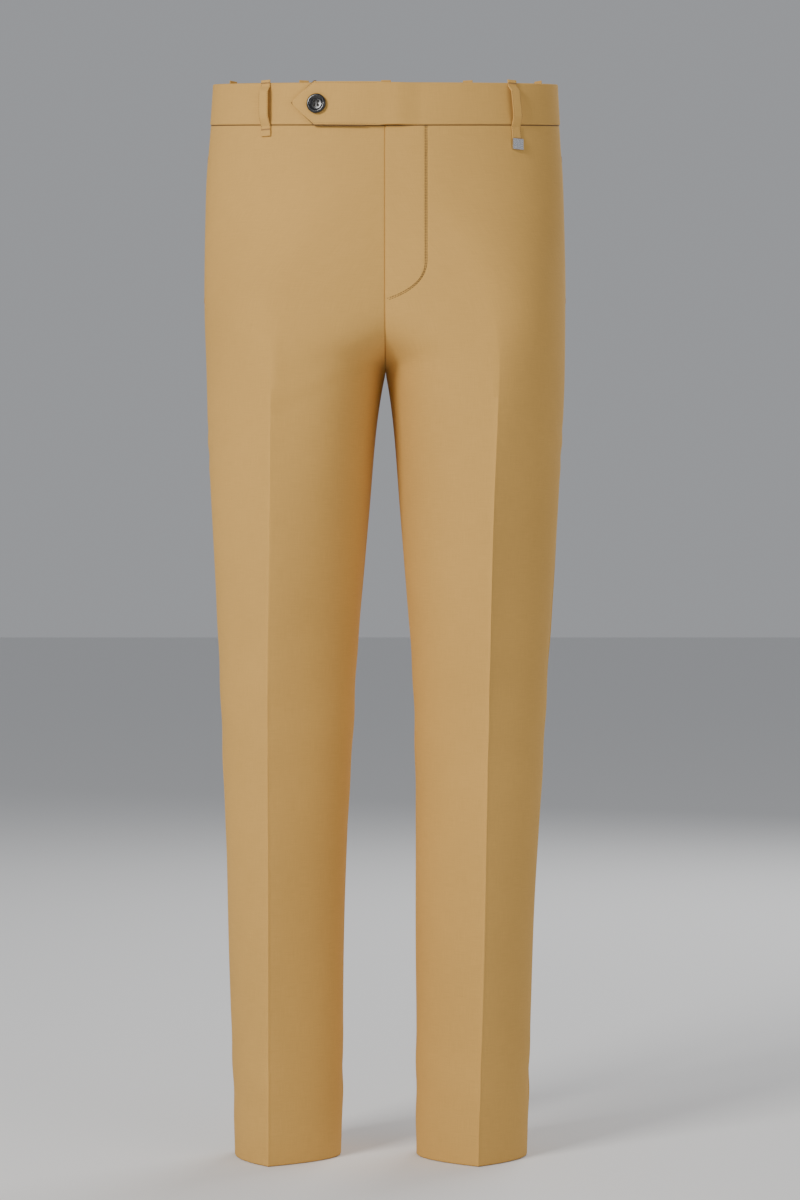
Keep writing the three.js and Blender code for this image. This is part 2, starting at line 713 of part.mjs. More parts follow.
function makeTab() {
  const group = new THREE.Group();
  group.add(mesh("closure_tab", closureTab(), cloth));
  const buttonPlace = facePlace(true, -buttonSetback, bandTop(true, -buttonSetback) - buttonDrop);
  group.add(seat(mesh("button_thread", buttonThread(buttonThickness), thread), buttonPlace, tabOuter + gap));
  const buttonOffset = tabOuter + gap + threadPad + gap;
  group.add(seat(mesh("tab_button", buttonGeometry(buttonRadius, buttonThickness), blackHorn), buttonPlace, buttonOffset));

  const hookPlace = facePlace(true, -hookSetback, bandTop(true, -hookSetback) - bandHeight / 2);
  const slot = new THREE.Path();
  const [slotWidth, slotHeight] = [3, 8];
  slot.moveTo(-slotWidth / 2, -slotHeight / 2);
  slot.lineTo(slotWidth / 2, -slotHeight / 2);
  slot.lineTo(slotWidth / 2, slotHeight / 2);
  slot.lineTo(-slotWidth / 2, slotHeight / 2);
  const hookShape = roundedShape(14, 13, 2);
  hookShape.holes.push(slot);
  const hook = mesh("waist_hook", plate(hookShape, hookThickness), steel);
  group.add(seat(hook, hookPlace, bandProud + tabStandoff - gap - hookThickness));
  return group;
}

function makeHookBar() {
  const place = facePlace(true, -hookSetback, bandTop(true, -hookSetback) - bandHeight / 2);
  const bar = mesh("waist_hook_bar", plate(roundedShape(5, 17, 1.5), hookThickness), steel);
  return seat(bar, place, bandProud + gap);
}

// ---- belt loops ----
// A strip sewn down at both ends, standing off the band between them.
function loopPath({ front, x, lean, extra }) {
  const [topFoot, topBend, lowBend, lowFoot] = [3, 10, bandHeight - 9, bandHeight + 3];
  const standoff = (drop) =>
    bandProud * (1 - smoothstep(drop, bandHeight - 2, lowFoot)) + loopFootGap +
    loopStandoff * smoothstep(drop, topFoot, topBend) * (1 - smoothstep(drop, lowBend, lowFoot));
  const { normal } = facePlace(front, x, bandTop(front, x) - bandHeight / 2);
  const out = new THREE.Vector3(normal.x, normal.y, 0).normalize();
  const along = new THREE.Vector3(-out.y, out.x, 0);
  const end = bandHeight + loopFoot + extra - loopFold;
  const place = (u, v) => {
    const drop = lerp(-loopFold, end, v);
    const across = (u - 0.5) * loopWidth;
    const base = facePoint(front, x + lean * (v - 0.5) + along.x * across, bandTop(front, x) - drop);
    return { point: base.addScaledVector(out, standoff(drop)), normal: out };
  };
  return { place, out, end };
}

const beltLoop = (loop) =>
  sheet({ columns: 1, rows: 16, outer: loopThickness, inner: 0, place: loopPath(loop).place });

const taggedLoop = { name: "belt_loop_front_left", front: true, x: 123, lean: 6, extra: 8 };
const loops = [
  taggedLoop,
  { name: "belt_loop_front_right", front: true, x: -113, lean: 0, extra: 0 },
  { name: "belt_loop_side_right", front: false, x: -150, lean: 0, extra: 0 },
  { name: "belt_loop_side_left", front: false, x: 150, lean: 0, extra: 0 },
  { name: "belt_loop_back_right", front: false, x: -82, lean: 0, extra: 0 },
  { name: "belt_loop_back_left", front: false, x: 82, lean: 0, extra: 0 },
  { name: "belt_loop_centre_back", front: false, x: 0, lean: 0, extra: 0 },
];

// A plate over the loop's lower end, with a wall down each of the loop's sides.
function loopTag(loop) {
  const { place, out, end } = loopPath(loop);
  const upright = new THREE.Vector3(0, 0, 1);
  const along = new THREE.Vector3().crossVectors(out, upright);
  const footZ = bandTop(true, loop.x) - end - tagOverhang;
  const covered = (tagHeight - tagOverhang) / (end + loopFold);
  const middle = place(0.5, 1 - covered / 2).point;
  const loopEnds = [1 - covered, 1].flatMap((v) => [0, 1].map((u) => place(u, v).point));
  const inner = Math.max(...loopEnds.map((point) => Math.abs(point.clone().sub(middle).dot(along)))) + gap;
  const outer = inner + tagSide;
  const corners = [-outer, outer].flatMap((across) =>
    [footZ, footZ + tagHeight].map((z) => facePoint(true, middle.x + along.x * across, z))
  );
  const clothFace = Math.max(...corners.map((point) => point.dot(out))) + gap;
  const plateFace = Math.max(...loopEnds.map((point) => point.dot(out))) + loopThickness + gap;
  const depth = plateFace - clothFace;
  const tagDepth = depth + tagWall;
  const shell = [
    block(-outer, outer, depth, tagDepth, 0, tagHeight),
    block(-outer, -inner, 0, tagDepth, 0, tagHeight),
    block(inner, outer, 0, tagDepth, 0, tagHeight),
    block(-outer, outer, 0, tagDepth + 0.5, 0, tagWall),
  ];
  const sideways = middle.clone().addScaledVector(out, -middle.dot(out)).setZ(footZ);
  return seat(mesh("loop_tag", joined(...shell), steel), { point: sideways, normal: out }, clothFace);
}

function makeBeltLoops() {
  const group = new THREE.Group();
  for (const loop of loops) group.add(mesh(loop.name, beltLoop(loop), cloth));
  group.add(loopTag(taggedLoop));
  return group;
}

// ---- pockets ----
function welt(side, topDrop) {
  const curtainless = 0.7;
  return sheet({
    columns: 12,
    rows: 1,
    outer: gap + curtainless,
    inner: gap,
    place: (u, v) => {
      const x = sign[side] * (weltMiddle + (u - 0.5) * weltLength);
      return facePlace(false, x, -lerp(topDrop, topDrop + weltHeight, v));
    },
  });
}

function makePockets(side) {
  const group = new THREE.Group();
  const face = -ply - gap;
  const bagThickness = 1.4;
  const [frontBagColumns, frontBagRows] = [[0, 8], [3, 12]];
  const frontBag = panelPatch(side, true, frontBagColumns, frontBagRows, face, face - bagThickness);
  group.add(mesh(`side_pocket_bag_${side}`, frontBag, pocketing));
  const [backBagColumns, backBagRows] = [[4, 11], [4, 10]];
  const backBag = panelPatch(side, false, backBagColumns, backBagRows, face, face - bagThickness);
  group.add(mesh(`back_pocket_bag_${side}`, backBag, pocketing));
  group.add(mesh(`back_welt_upper_${side}`, welt(side, weltDrop), cloth));
  group.add(mesh(`back_welt_lower_${side}`, welt(side, weltDrop + weltHeight + gap), cloth));
  const buttonPlace = facePlace(false, sign[side] * weltMiddle, -weltDrop - 2 * weltHeight - 16);
  const button = mesh(`back_pocket_button_${side}`, buttonGeometry(backButtonRadius, 2.4), brownHorn);
  group.add(seat(button, buttonPlace, gap));
  return group;
}

// ---- hems ----
// The turned-up cloth inside each leg, a closed ring that follows both panels' own grid.
function hemFacing(side) {
  const columns = panelColumns * 2;
  const foldThickness = 2;
  const face = -ply - gap;
  return sheet({
    columns: columns,
    rows: 1,
    ring: true,
    outer: face,
    inner: face - foldThickness,
    place: (u, v) => {
      const front = u < 0.5;
      const across = front ? 2 * u : 2 - 2 * u;
      return panelPlace(side, front, across, lerp(outseam - hemDepth, outseam, v));
    },
    trim: (point, u, v) => (v === 1 ? point.setZ(-outseam) : point),
  });
}

// ---- the trousers ----
const waistband = makeWaistband();
const fly = makeFly(waistband.userData.flap);
fly.flap.add(makeTab());

const group = new THREE.Group();
group.add(waistband, makeUnderlap(), makeHookBar(), makeBeltLoops(), fly.fixed, fly.flap);
group.add(mesh("right_front_panel", panel("right", true), cloth));
for (const side of ["right", "left"]) {
  group.add(mesh(`${side}_back_panel`, panel(side, false), cloth));
  group.add(makePockets(side));
  group.add(mesh(`hem_facing_${side}`, hemFacing(side), cloth));
}

export default group;
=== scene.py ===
import math

import bmesh
import bpy
import numpy as np
from mathutils import Matrix, Vector


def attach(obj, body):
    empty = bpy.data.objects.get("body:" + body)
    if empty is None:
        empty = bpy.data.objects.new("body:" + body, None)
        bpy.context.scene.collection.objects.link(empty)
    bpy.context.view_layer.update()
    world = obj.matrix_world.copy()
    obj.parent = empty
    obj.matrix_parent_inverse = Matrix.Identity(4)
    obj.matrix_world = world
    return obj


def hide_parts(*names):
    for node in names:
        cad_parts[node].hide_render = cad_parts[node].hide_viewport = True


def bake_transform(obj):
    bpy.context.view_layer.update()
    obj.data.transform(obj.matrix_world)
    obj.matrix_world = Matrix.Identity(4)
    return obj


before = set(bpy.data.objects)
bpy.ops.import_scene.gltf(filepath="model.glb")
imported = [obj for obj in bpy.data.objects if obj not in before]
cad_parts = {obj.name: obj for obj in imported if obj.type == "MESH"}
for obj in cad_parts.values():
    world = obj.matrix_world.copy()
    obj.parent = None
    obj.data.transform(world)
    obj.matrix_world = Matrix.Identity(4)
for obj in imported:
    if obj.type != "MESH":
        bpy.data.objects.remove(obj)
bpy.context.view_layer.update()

MM = 0.001
PI = math.pi
EULER = 2.718

# ---------------------------------------- the trousers' surface, in millimetres, as the CAD draws it
LEVELS = np.array([0, 110, 215, 282, 417, 600, 820, 1047], float)
OUTSEAM, HIP, FORK = 1047.0, 215.0, 282.0
WAIST = 168.0
BAND, PROUD, BAND_THICK = 40.0, 0.8, 2.4
DIP, RISE = 15.5, 19.0
PLY, GAP = 1.2, 0.3
SIGN = {"right": -1.0, "left": 1.0}


def profile(values):
    """A smooth line down the trousers through one value at each level."""
    v = np.array(values, float)
    span = np.diff(LEVELS)
    secant = np.diff(v) / span
    slope = np.zeros(len(LEVELS))
    slope[0] = 0.6 * secant[0]
    slope[-1] = secant[-1]
    for i in range(1, len(LEVELS) - 1):
        a, b = secant[i - 1], secant[i]
        slope[i] = 2 * a * b / (a + b) if a * b > 0 else 0

    def at(z):
        drop = np.clip(-np.asarray(z, float), 0, OUTSEAM)
        i = np.clip(np.searchsorted(LEVELS, drop, side="right") - 1, 0, len(span) - 1)
        t = (drop - LEVELS[i]) / span[i]
        return (
            (1 + 2 * t) * (1 - t) ** 2 * v[i]
            + t * (1 - t) ** 2 * span[i] * slope[i]
            + t * t * (3 - 2 * t) * v[i + 1]
            + t * t * (t - 1) * span[i] * slope[i + 1]
        )

    return at


outer_line = {
    "right": profile([168, 175.5, 177, 175, 170, 161.5, 153.3, 147.5]),
    "left": profile([168, 174, 176, 175.5, 169, 157.5, 145.2, 138.7]),
}
inner_line = {
    "right": profile([-168, -170, -135, 0, 16, 30.5, 40, 43.6]),
    "left": profile([-168, -170, -135, 0, 14.2, 27, 30.3, 30.3]),
}
front_crease = {
    "right": profile([0, 30, 95, 107, 109, 112, 112, 112]),
    "left": profile([0, 30, 95, 107, 103, 99, 94.6, 89]),
}
back_crease = profile([0, 30, 80, 84, 80, 80, 80, 80])
front_depth = profile([100, 99.1, 104.8, 108, 98, 84, 75, 69])
back_depth = profile([96, 128, 150, 128, 104, 84, 76, 71])
inseam_setback = profile([0, 0, 5, 14, 6, 0, 0, 0])
outer_round = profile([2, 2, 2, 1.5, 1.15, 1, 1, 1])
inner_round = profile([2, 2, 2.2, 2.8, 1.8, 1.2, 1, 1])
pressing = profile([0, 0, 0, 0.1, 0.22, 0.12, 0, 0])


def smooth(x, a, b):
    t = np.clip((np.asarray(x, float) - a) / (b - a), 0, 1)
    return t * t * (3 - 2 * t)


def bump(x, middle, width):
    return np.exp(-(((x - middle) / width) ** 2))


def crease_at(side, front, z):
    return front_crease[side](z) if front else back_crease(z)


def face_y(front, medial, reach, rise, z):
    shadow_line = np.where(medial, inseam_setback(z), 0.0)
    depth = -front_depth(z) if front else back_depth(z)
    return shadow_line + (depth - shadow_line) * (rise - pressing(z) * reach * (1 - reach) ** 2)


def body_point(side, front, angle, z):
    crease = crease_at(side, front, z)
    medial = angle > PI / 2
    edge = np.where(medial, inner_line[side](z), outer_line[side](z))
    fullness = np.where(medial, inner_round(z), outer_round(z))
    reach = np.abs(np.cos(angle)) ** (2 / fullness)
    x = SIGN[side] * (crease + (edge - crease) * reach)
    y = face_y(front, medial, reach, np.sin(angle), z)
    return np.stack([x, y, np.broadcast_to(z, np.shape(x))], -1)


def end_angle(side, front, z):
    edge = inner_line[side](z)
    crease = crease_at(side, front, z)
    share = np.clip(crease / np.maximum(crease - edge, 1e-9), 0, 1) ** inner_round(z)
    return np.where(edge >= 0, PI, PI - np.arcsin(np.sqrt(np.clip(1 - share, 0, 1))))


def panel_point(side, front, u, drop):
    fade = np.clip((HIP - drop) / (HIP - BAND), 0, 1)
    z = (-DIP if front else RISE) * np.sin(u * PI / 2) * fade - drop
    end = end_angle(side, front, z)
    creased = np.where(u < 0.5, PI * u, PI / 2 + (end - PI / 2) * (2 * u - 1))
    k = smooth(drop, BAND, HIP)
    return body_point(side, front, end * u * (1 - k) + creased * k, z)


def band_point(side, w, drop):
    u = np.abs(w - 0.5) * 2
    made = []
    for front in (False, True):
        z = (-DIP if front else RISE) * np.sin(u * PI / 2) - drop
        made.append(body_point(side, front, u * end_angle(side, front, z), z))
    return np.where((w > 0.5)[..., None], made[1], made[0])


def face_point(front, x, z):
    out = []
    for side in ("right", "left"):
        crease = crease_at(side, front, z)
        medial = np.abs(x) < crease
        edge = np.where(medial, inner_line[side](z), outer_line[side](z))
        fullness = np.where(medial, inner_round(z), outer_round(z))
        reach = np.clip((np.abs(x) - crease) / (edge - crease), 0, 1)
        rise = np.sqrt(1 - reach**fullness)
        out.append(face_y(front, medial, reach, rise, z))
    y = np.where(np.asarray(x) < 0, out[0], out[1])
    return np.stack(np.broadcast_arrays(x, y, z), -1).astype(float)


def band_top(front, x):
    return (-DIP if front else RISE) * np.sqrt(np.clip(1 - (np.asarray(x) / WAIST) ** 2, 0, 1))


def face_normal(front, x, z):
    across = face_point(front, x + 1, z) - face_point(front, x - 1, z)
    down = face_point(front, x, z + 1) - face_point(front, x, z - 1)
    n = np.cross(across, down)
    n /= np.linalg.norm(n)
    return -n if n[1] * (-1 if front else 1) < 0 else n


def drape(p):
    """How far the cloth swells along its normal: slow leg waves, knee and hem folds, fork drag, a full seat."""
    x, y, z = p[..., 0], p[..., 1], p[..., 2]
    drop = -z
    side = np.where(x < 0, 0.0, 1.9)
    front = np.where(y < 0, 0.0, 1.3)
    away = smooth(np.abs(x), 4, 30)
    leg = smooth(drop, 250, 380) * (1 - 0.8 * smooth(drop, 1015, 1047))
    slow = 0.55 * np.sin(0.0125 * drop + 0.021 * np.abs(x) + side + front)
    slow += 0.35 * np.sin(0.0231 * drop - 0.034 * np.abs(x) + 2 * side - front)
    knee = 0.55 * bump(drop, 610, 75) * np.sin(0.085 * drop + 0.03 * x + side)
    hem = 0.6 * bump(drop, 975, 45) * np.sin(0.1 * drop - 0.045 * x + side + front)
    drag = 0.5 * bump(drop - 0.55 * np.abs(x), 262, 26) * away * smooth(np.abs(x), 14, 60)
    drag *= np.sin(0.22 * (drop - 0.5 * np.abs(x)))
    seat = 0.5 * smooth(y, 30, 60) * bump(drop, 330, 60) * np.sin(0.07 * drop + 0.04 * np.abs(x)) * away
    fill = 5.5 * bump(drop, 392, 78) * smooth(y, 35, 95)
    return leg * away * (slow + knee + hem) + drag * smooth(drop, 225, 250) + seat + fill


# ---------------------------------------- mesh making
def diagonals(p, ring=False):
    """Both diagonals of every cell in a grid of points."""
    q = np.concatenate([p, p[:, :1]], 1) if ring else p
    return q[1:, 1:] - q[:-1, :-1], q[1:, :-1] - q[:-1, 1:]


def run_across(p):
    """How far along its row each point of a grid lies."""
    step = np.linalg.norm(np.diff(p, axis=1), axis=-1)
    return np.concatenate([np.zeros((len(p), 1)), np.cumsum(step, 1)], 1)


def normals(p, ring=False):
    face = np.cross(*diagonals(p, ring))
    face /= np.maximum(np.linalg.norm(face, axis=-1, keepdims=True), 1e-9)
    n = np.zeros((len(p), p.shape[1] + ring, 3))
    for a in (slice(None, -1), slice(1, None)):
        for b in (slice(None, -1), slice(1, None)):
            n[a, b] += face
    if ring:
        n[:, 0] += n[:, -1]
        n = n[:, :-1]
    return n / np.maximum(np.linalg.norm(n, axis=-1, keepdims=True), 1e-9)


def make(name, verts, faces, material, uv=None, sharp=40):
    """A mesh object from points in millimetres, with metric UVs where they are given."""
    mesh = bpy.data.meshes.new(name)
    mesh.from_pydata((np.asarray(verts, float) * MM).tolist(), [], [list(map(int, f)) for f in faces])
    mesh.materials.append(material)
    if uv is not None:
        layer = mesh.uv_layers.new(name="cloth")
        loops = np.zeros(len(mesh.loops), np.int32)
        mesh.loops.foreach_get("vertex_index", loops)
        layer.data.foreach_set("uv", (np.asarray(uv, np.float32) * MM)[loops].ravel())
    mesh.shade_smooth()
    if sharp:
        mesh.set_sharp_from_angle(angle=math.radians(sharp))
    o = bpy.data.objects.new(name, mesh)
    bpy.context.scene.collection.objects.link(o)
    return o


def signed_volume(v, f):
    tri = np.array([(q[0], q[i], q[i + 1]) for q in f for i in range(1, len(q) - 1)])
    a, b, c = v[tri[:, 0]], v[tri[:, 1]], v[tri[:, 2]]
    return float(np.einsum("ij,ij->i", a, np.cross(b, c)).sum())


def shell(name, p, away, outer, inner, material, ring=False, waves=True, uv=None, finish=None):
    """A closed ply over a grid of points: a face at the outer offset, one at the inner, and rims round them."""
    n = normals(p, ring)
    if ((p - away) * n).sum() < 0:
        n = -n
    rows, cols = p.shape[:2]
    outer = np.broadcast_to(outer, (rows, cols))
    inner = np.broadcast_to(inner, (rows, cols))
    lift = drape(p) if waves else np.zeros((rows, cols))
    faces_at = [p + n * (outer + lift)[..., None], p + n * (inner + lift)[..., None]]
    if finish:
        faces_at = [finish(f) for f in faces_at]
    if uv is None:
        across = run_across(p)
        uv = np.stack([across - across[:, cols // 2 : cols // 2 + 1], -p[..., 2]], -1)
    size = rows * cols
    ids = np.arange(size).reshape(rows, cols)
    if ring:
        ids = np.concatenate([ids, ids[:, :1]], 1)
    a, b, c, d = ids[:-1, :-1], ids[:-1, 1:], ids[1:, 1:], ids[1:, :-1]
    faces = list(np.stack([a, b, c, d], -1).reshape(-1, 4))
    faces += list(np.stack([a, d, c, b], -1).reshape(-1, 4) + size)
    rims = [(ids[0], 1), (ids[-1], -1)]
    if not ring:
        rims += [(ids[:, 0], -1), (ids[:, -1], 1)]
    for line, way in rims:
        for i, j in zip(line[:-1], line[1:]):
            faces.append([i, i + size, j + size, j] if way > 0 else [i, j, j + size, i + size])
    verts = np.concatenate([f.reshape(-1, 3) for f in faces_at])
    if signed_volume(verts, faces) < 0:
        faces = [f[::-1] for f in faces]
    o = make(name, verts, faces, material, np.concatenate([uv.reshape(-1, 2)] * 2))
    width = np.linalg.norm(np.diff(p, axis=1), axis=-1).sum(1)
    length = np.linalg.norm(np.diff(p, axis=0), axis=-1).sum(0)
    if ring:
        width += np.linalg.norm(p[:, 0] - p[:, -1], axis=-1)
    area = (np.linalg.norm(np.cross(*diagonals(p, ring)), axis=-1) / 2).sum()
    o["flat_mm"] = [round(float(width.max()), 1), round(float(length.max()), 1), round(float(area), 0)]
    return o


def cloth_sheet(o):
    """Reads the width, length and area that a piece's own surface measures, turning them to metres; nothing more
    is done with them.
    """
    width, length, area = o["flat_mm"]
    width, length, area = math.ceil(width) * MM, math.ceil(length) * MM, area * MM * MM


def rounded(distance, radius, depth):
    """How far an edge has turned in, a distance from it."""
    t = np.clip(distance / radius, 0, 1)
    return -depth * (1 - np.sqrt(np.clip(1 - (1 - t) ** 2, 0, 1)))


def tube(path, radius, sides=7, closed=False):
    """Points and faces of a round strand along a path of points in millimetres."""
    path = np.asarray(path, float)
    count = len(path)
    tangent = np.gradient(path, axis=0) if not closed else np.roll(path, -1, 0) - np.roll(path, 1, 0)
    tangent /= np.linalg.norm(tangent, axis=1, keepdims=True)
    helper = np.array([0.3, 1.0, 0.2])
    side = np.cross(tangent, helper)
    side /= np.linalg.norm(side, axis=1, keepdims=True)
    up = np.cross(tangent, side)
    radius = np.broadcast_to(radius, count)
    turn = np.linspace(0, 2 * PI, sides, endpoint=False)
    ring = path[:, None] + radius[:, None, None] * (
        np.cos(turn)[None, :, None] * side[:, None] + np.sin(turn)[None, :, None] * up[:, None]
    )
    faces = []
    for i in range(count if closed else count - 1):
        k = (i + 1) % count
        for j in range(sides):
            m = (j + 1) % sides
            faces.append([i * sides + j, i * sides + m, k * sides + m, k * sides + j])
    if not closed:
        faces.append(list(range(sides))[::-1])
        faces.append([(count - 1) * sides + j for j in range(sides)])
    return ring.reshape(-1, 3), faces


def gathered(parts):
    verts, faces, start = [], [], 0
    for v, f in parts:
        verts.append(v)
        faces += [[i + start for i in face] for face in f]
        start += len(v)
    return np.concatenate(verts), faces


def stitches(name, path, out, material, length=2.3, pitch=3.0, radius=0.26, lift=0.12):
    """Short sunken threads along a path, each dipping into the cloth at both of its ends."""
    path, out = np.asarray(path, float), np.asarray(out, float)
    run = np.concatenate([[0], np.cumsum(np.linalg.norm(np.diff(path, axis=0), axis=1))])
    parts = []
    for start in np.arange(0.4, run[-1] - length, pitch):
        at = np.linspace(start, start + length, 7)
        points = np.stack([np.interp(at, run, path[:, k]) for k in range(3)], 1)
        n = np.stack([np.interp(at, run, out[:, k]) for k in range(3)], 1)
        n /= np.linalg.norm(n, axis=1, keepdims=True)
        arch = np.sin(np.linspace(0, PI, 7))
        points += n * (lift - 0.35 * (1 - arch))[:, None]
        parts.append(tube(points, radius * (0.55 + 0.45 * arch), 6))
    verts, faces = gathered(parts)
    return make(name, verts, faces, material, sharp=0)


# ---------------------------------------- materials
def shader(name, rough, metal=0.0, sheen=0.0, coat=0.0, ior_level=0.5):
    m = bpy.data.materials.new(name)
    m.use_nodes = True
    nodes, links = m.node_tree.nodes, m.node_tree.links
    b = nodes["Principled BSDF"]
    b.inputs["Roughness"].default_value = rough
    b.inputs["Metallic"].default_value = metal
    b.inputs["Sheen Weight"].default_value = sheen
    b.inputs["Sheen Roughness"].default_value = 0.45
    b.inputs["Coat Weight"].default_value = coat
    b.inputs["Coat Roughness"].default_value = 0.06
    b.inputs["Specular IOR Level"].default_value = ior_level

    def math_node(kind, a, c=None, d=None):
        n = nodes.new("ShaderNodeMath")
        n.operation = kind
        for i, value in enumerate((a, c, d)):
            if value is None:
                continue
            if isinstance(value, (int, float)):
                n.inputs[i].default_value = value
            else:
                links.new(value, n.inputs[i])
        return n.outputs[0]

    def noise(vector, scale, stretch=(1, 1, 1), detail=3.0):
        mapping = nodes.new("ShaderNodeMapping")
        mapping.inputs["Scale"].default_value = stretch
        links.new(vector, mapping.inputs["Vector"])
        n = nodes.new("ShaderNodeTexNoise")
        n.inputs["Scale"].default_value = scale
        n.inputs["Detail"].default_value = detail
        links.new(mapping.outputs[0], n.inputs["Vector"])
        return n.outputs["Fac"]

    def tint(fac, low, high):
        mix = nodes.new("ShaderNodeMix")
        mix.data_type = "RGBA"
        links.new(fac, mix.inputs["Factor"])
        mix.inputs["A"].default_value = (*low, 1)
        mix.inputs["B"].default_value = (*high, 1)
        return mix.outputs["Result"]

    def relief(height, distance, strength):
        n = nodes.new("ShaderNodeBump")
        n.inputs["Distance"].default_value = distance
        n.inputs["Strength"].default_value = strength
        links.new(height, n.inputs["Height"])
        links.new(n.outputs[0], b.inputs["Normal"])

    return m, b, nodes, links, math_node, noise, tint, relief


def woven(name, color, pitch=0.00052, twill=True, rough=0.88, sheen=0.04, paint_crease_highlight=True, contrast=1.0):
    """Woven cloth from its metric UVs: U across the grain in metres, V down it."""
    m, b, nodes, links, calc, noise, tint, relief = shader(name, rough, sheen=sheen, ior_level=0.25)
    b.inputs["Sheen Tint"].default_value = (*[min(1, c * 1.5 + 0.1) for c in color], 1)
    uv = nodes.new("ShaderNodeUVMap")
    uv.uv_map = "cloth"
    split = nodes.new("ShaderNodeSeparateXYZ")
    links.new(uv.outputs[0], split.inputs[0])
    u, v = split.outputs[0], split.outputs[1]
    turn = 2 * PI / pitch
    warp = calc("SINE", calc("MULTIPLY", u, turn))
    weft = calc("SINE", calc("MULTIPLY", v, turn))
    if twill:
        diagonal = calc("ADD", calc("MULTIPLY", u, 0.5), calc("MULTIPLY", v, 0.32))
        wale = calc("SINE", calc("MULTIPLY", diagonal, turn))
        weave = calc("ADD", calc("MULTIPLY", wale, 0.6), calc("MULTIPLY", calc("ADD", warp, weft), 0.2))
    else:
        weave = calc("MULTIPLY", calc("MULTIPLY", warp, weft), 0.9)
    slub_down = noise(uv.outputs[0], 1.0, (1900, 55, 1), 2)
    slub = calc("ADD", slub_down, noise(uv.outputs[0], 1.0, (60, 1700, 1), 2))
    cloud = noise(nodes.new("ShaderNodeTexCoord").outputs["Object"], 9.0, detail=4)
    uneven = calc("MULTIPLY", calc("SUBTRACT", slub, 1.0), 0.55 * contrast)
    shade = calc("ADD", calc("MULTIPLY", weave, 0.13 * contrast), uneven)
    shade = calc("ADD", shade, calc("MULTIPLY", calc("SUBTRACT", cloud, 0.5), 0.5))
    if paint_crease_highlight:  # painted highlight: the pressed crease, at U 0, is painted a little lighter, for the light it catches
        below_hip = calc("MAXIMUM", calc("SUBTRACT", v, 0.22), 0.0)
        faded = calc("POWER", EULER, calc("MULTIPLY", below_hip, -14))
        crease_highlight = calc("POWER", EULER, calc("MULTIPLY", calc("ABSOLUTE", u), -420))
        crease_highlight = calc("MULTIPLY", crease_highlight, calc("SUBTRACT", 1.0, faded))
        shade = calc("ADD", shade, calc("MULTIPLY", crease_highlight, 0.22))
    fac = calc("MAXIMUM", calc("MINIMUM", calc("ADD", shade, 0.5), 1.0), 0.0)
    low = [c * 0.84 for c in color]
    high = [min(1, c * 1.15) for c in color]
    links.new(tint(fac, low, high), b.inputs["Base Color"])
    rougher = calc("ADD", calc("MULTIPLY", slub, 0.06), rough - 0.06)
    links.new(rougher, b.inputs["Roughness"])
    relief(calc("ADD", weave, calc("MULTIPLY", slub, 1.2)), 0.00006, 0.45)
    return m


def solid_shader(name, color, rough, scale, spread, metal=0.0, coat=0.0, grain=(1, 1, 1), depth=0.00003):
    """An opaque material with grain in its colour, roughness and relief; depth is in metres."""
    m, b, nodes, links, calc, noise, tint, relief = shader(name, rough, metal, coat=coat)
    place = nodes.new("ShaderNodeTexCoord").outputs["Object"]
    fine = noise(place, scale, grain, 5)
    broad = noise(place, scale * 0.12, grain, 3)
    both = calc("ADD", calc("MULTIPLY", fine, 0.5), calc("MULTIPLY", broad, 0.5))
    low = [c * (1 - spread) for c in color]
    high = [min(1, c * (1 + spread)) for c in color]
    links.new(tint(both, low, high), b.inputs["Base Color"])
    links.new(calc("ADD", calc("MULTIPLY", fine, 0.16), max(0.02, rough - 0.08)), b.inputs["Roughness"])
    relief(fine, depth, 0.35)
    return m


TAN = (0.588, 0.338, 0.090)
suiting = woven("suiting_twill", TAN)
lining = woven("curtain_lining", (0.67, 0.58, 0.43), 0.0003, False, 0.6, 0.1, False, 0.6)
pocketing = woven("pocketing", (0.62, 0.53, 0.38), 0.00045, False, 0.85, 0.1, False, 0.8)
tape_cloth = woven("zip_tape", (0.43, 0.28, 0.13), 0.0007, False, 0.8, 0.1, False, 1.2)
THREAD_DEPTH, HORN_DEPTH = 0.00004, 0.00001
thread = solid_shader("tan_thread", (0.36, 0.195, 0.06), 0.6, 2500.0, 0.2, depth=THREAD_DEPTH)
# dark brown: the thread of the fly and loop stitching, and also painted shadow lines under the band's edge and
# round the tab
shadow_line_and_stitch_thread = solid_shader("shadow_line_and_stitch_thread", (0.13, 0.066, 0.021), 0.75, 2500.0, 0.2, depth=THREAD_DEPTH)
dark_thread = solid_shader("button_thread", (0.02, 0.018, 0.016), 0.65, 2500.0, 0.4)
brass = solid_shader("zip_brass", (0.62, 0.44, 0.18), 0.34, 900.0, 0.12, metal=1.0)
steel = solid_shader("plated_steel", (0.62, 0.62, 0.64), 0.26, 500.0, 0.08, metal=1.0, grain=(1, 1, 14))
black_horn = solid_shader("black_button", (0.005, 0.005, 0.006), 0.2, 300.0, 0.4, coat=0.25, depth=HORN_DEPTH)
brown_horn = solid_shader(
    "brown_button", (0.21, 0.115, 0.05), 0.22, 160.0, 0.45, coat=0.5, grain=(1, 5, 1), depth=HORN_DEPTH
)


J_X, J_TURN, J_ROWS_APART = 38.0, -186.0, 1.6


def fold_blend(o):
    """Bakes a piece's placement into its mesh; the piece is not bent along the fold."""
    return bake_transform(o)


def j_line(z):
    """X of the fly's curved stitching at a height."""
    t = np.linspace(0, 1, 60)
    x = (1 - t) ** 2 * J_X + 2 * t * (1 - t) * 37
    down = (1 - t) ** 2 * J_TURN + 2 * t * (1 - t) * -209 + t**2 * -220
    return np.where(z > J_TURN, J_X, np.interp(-z, -down, x, right=-20))


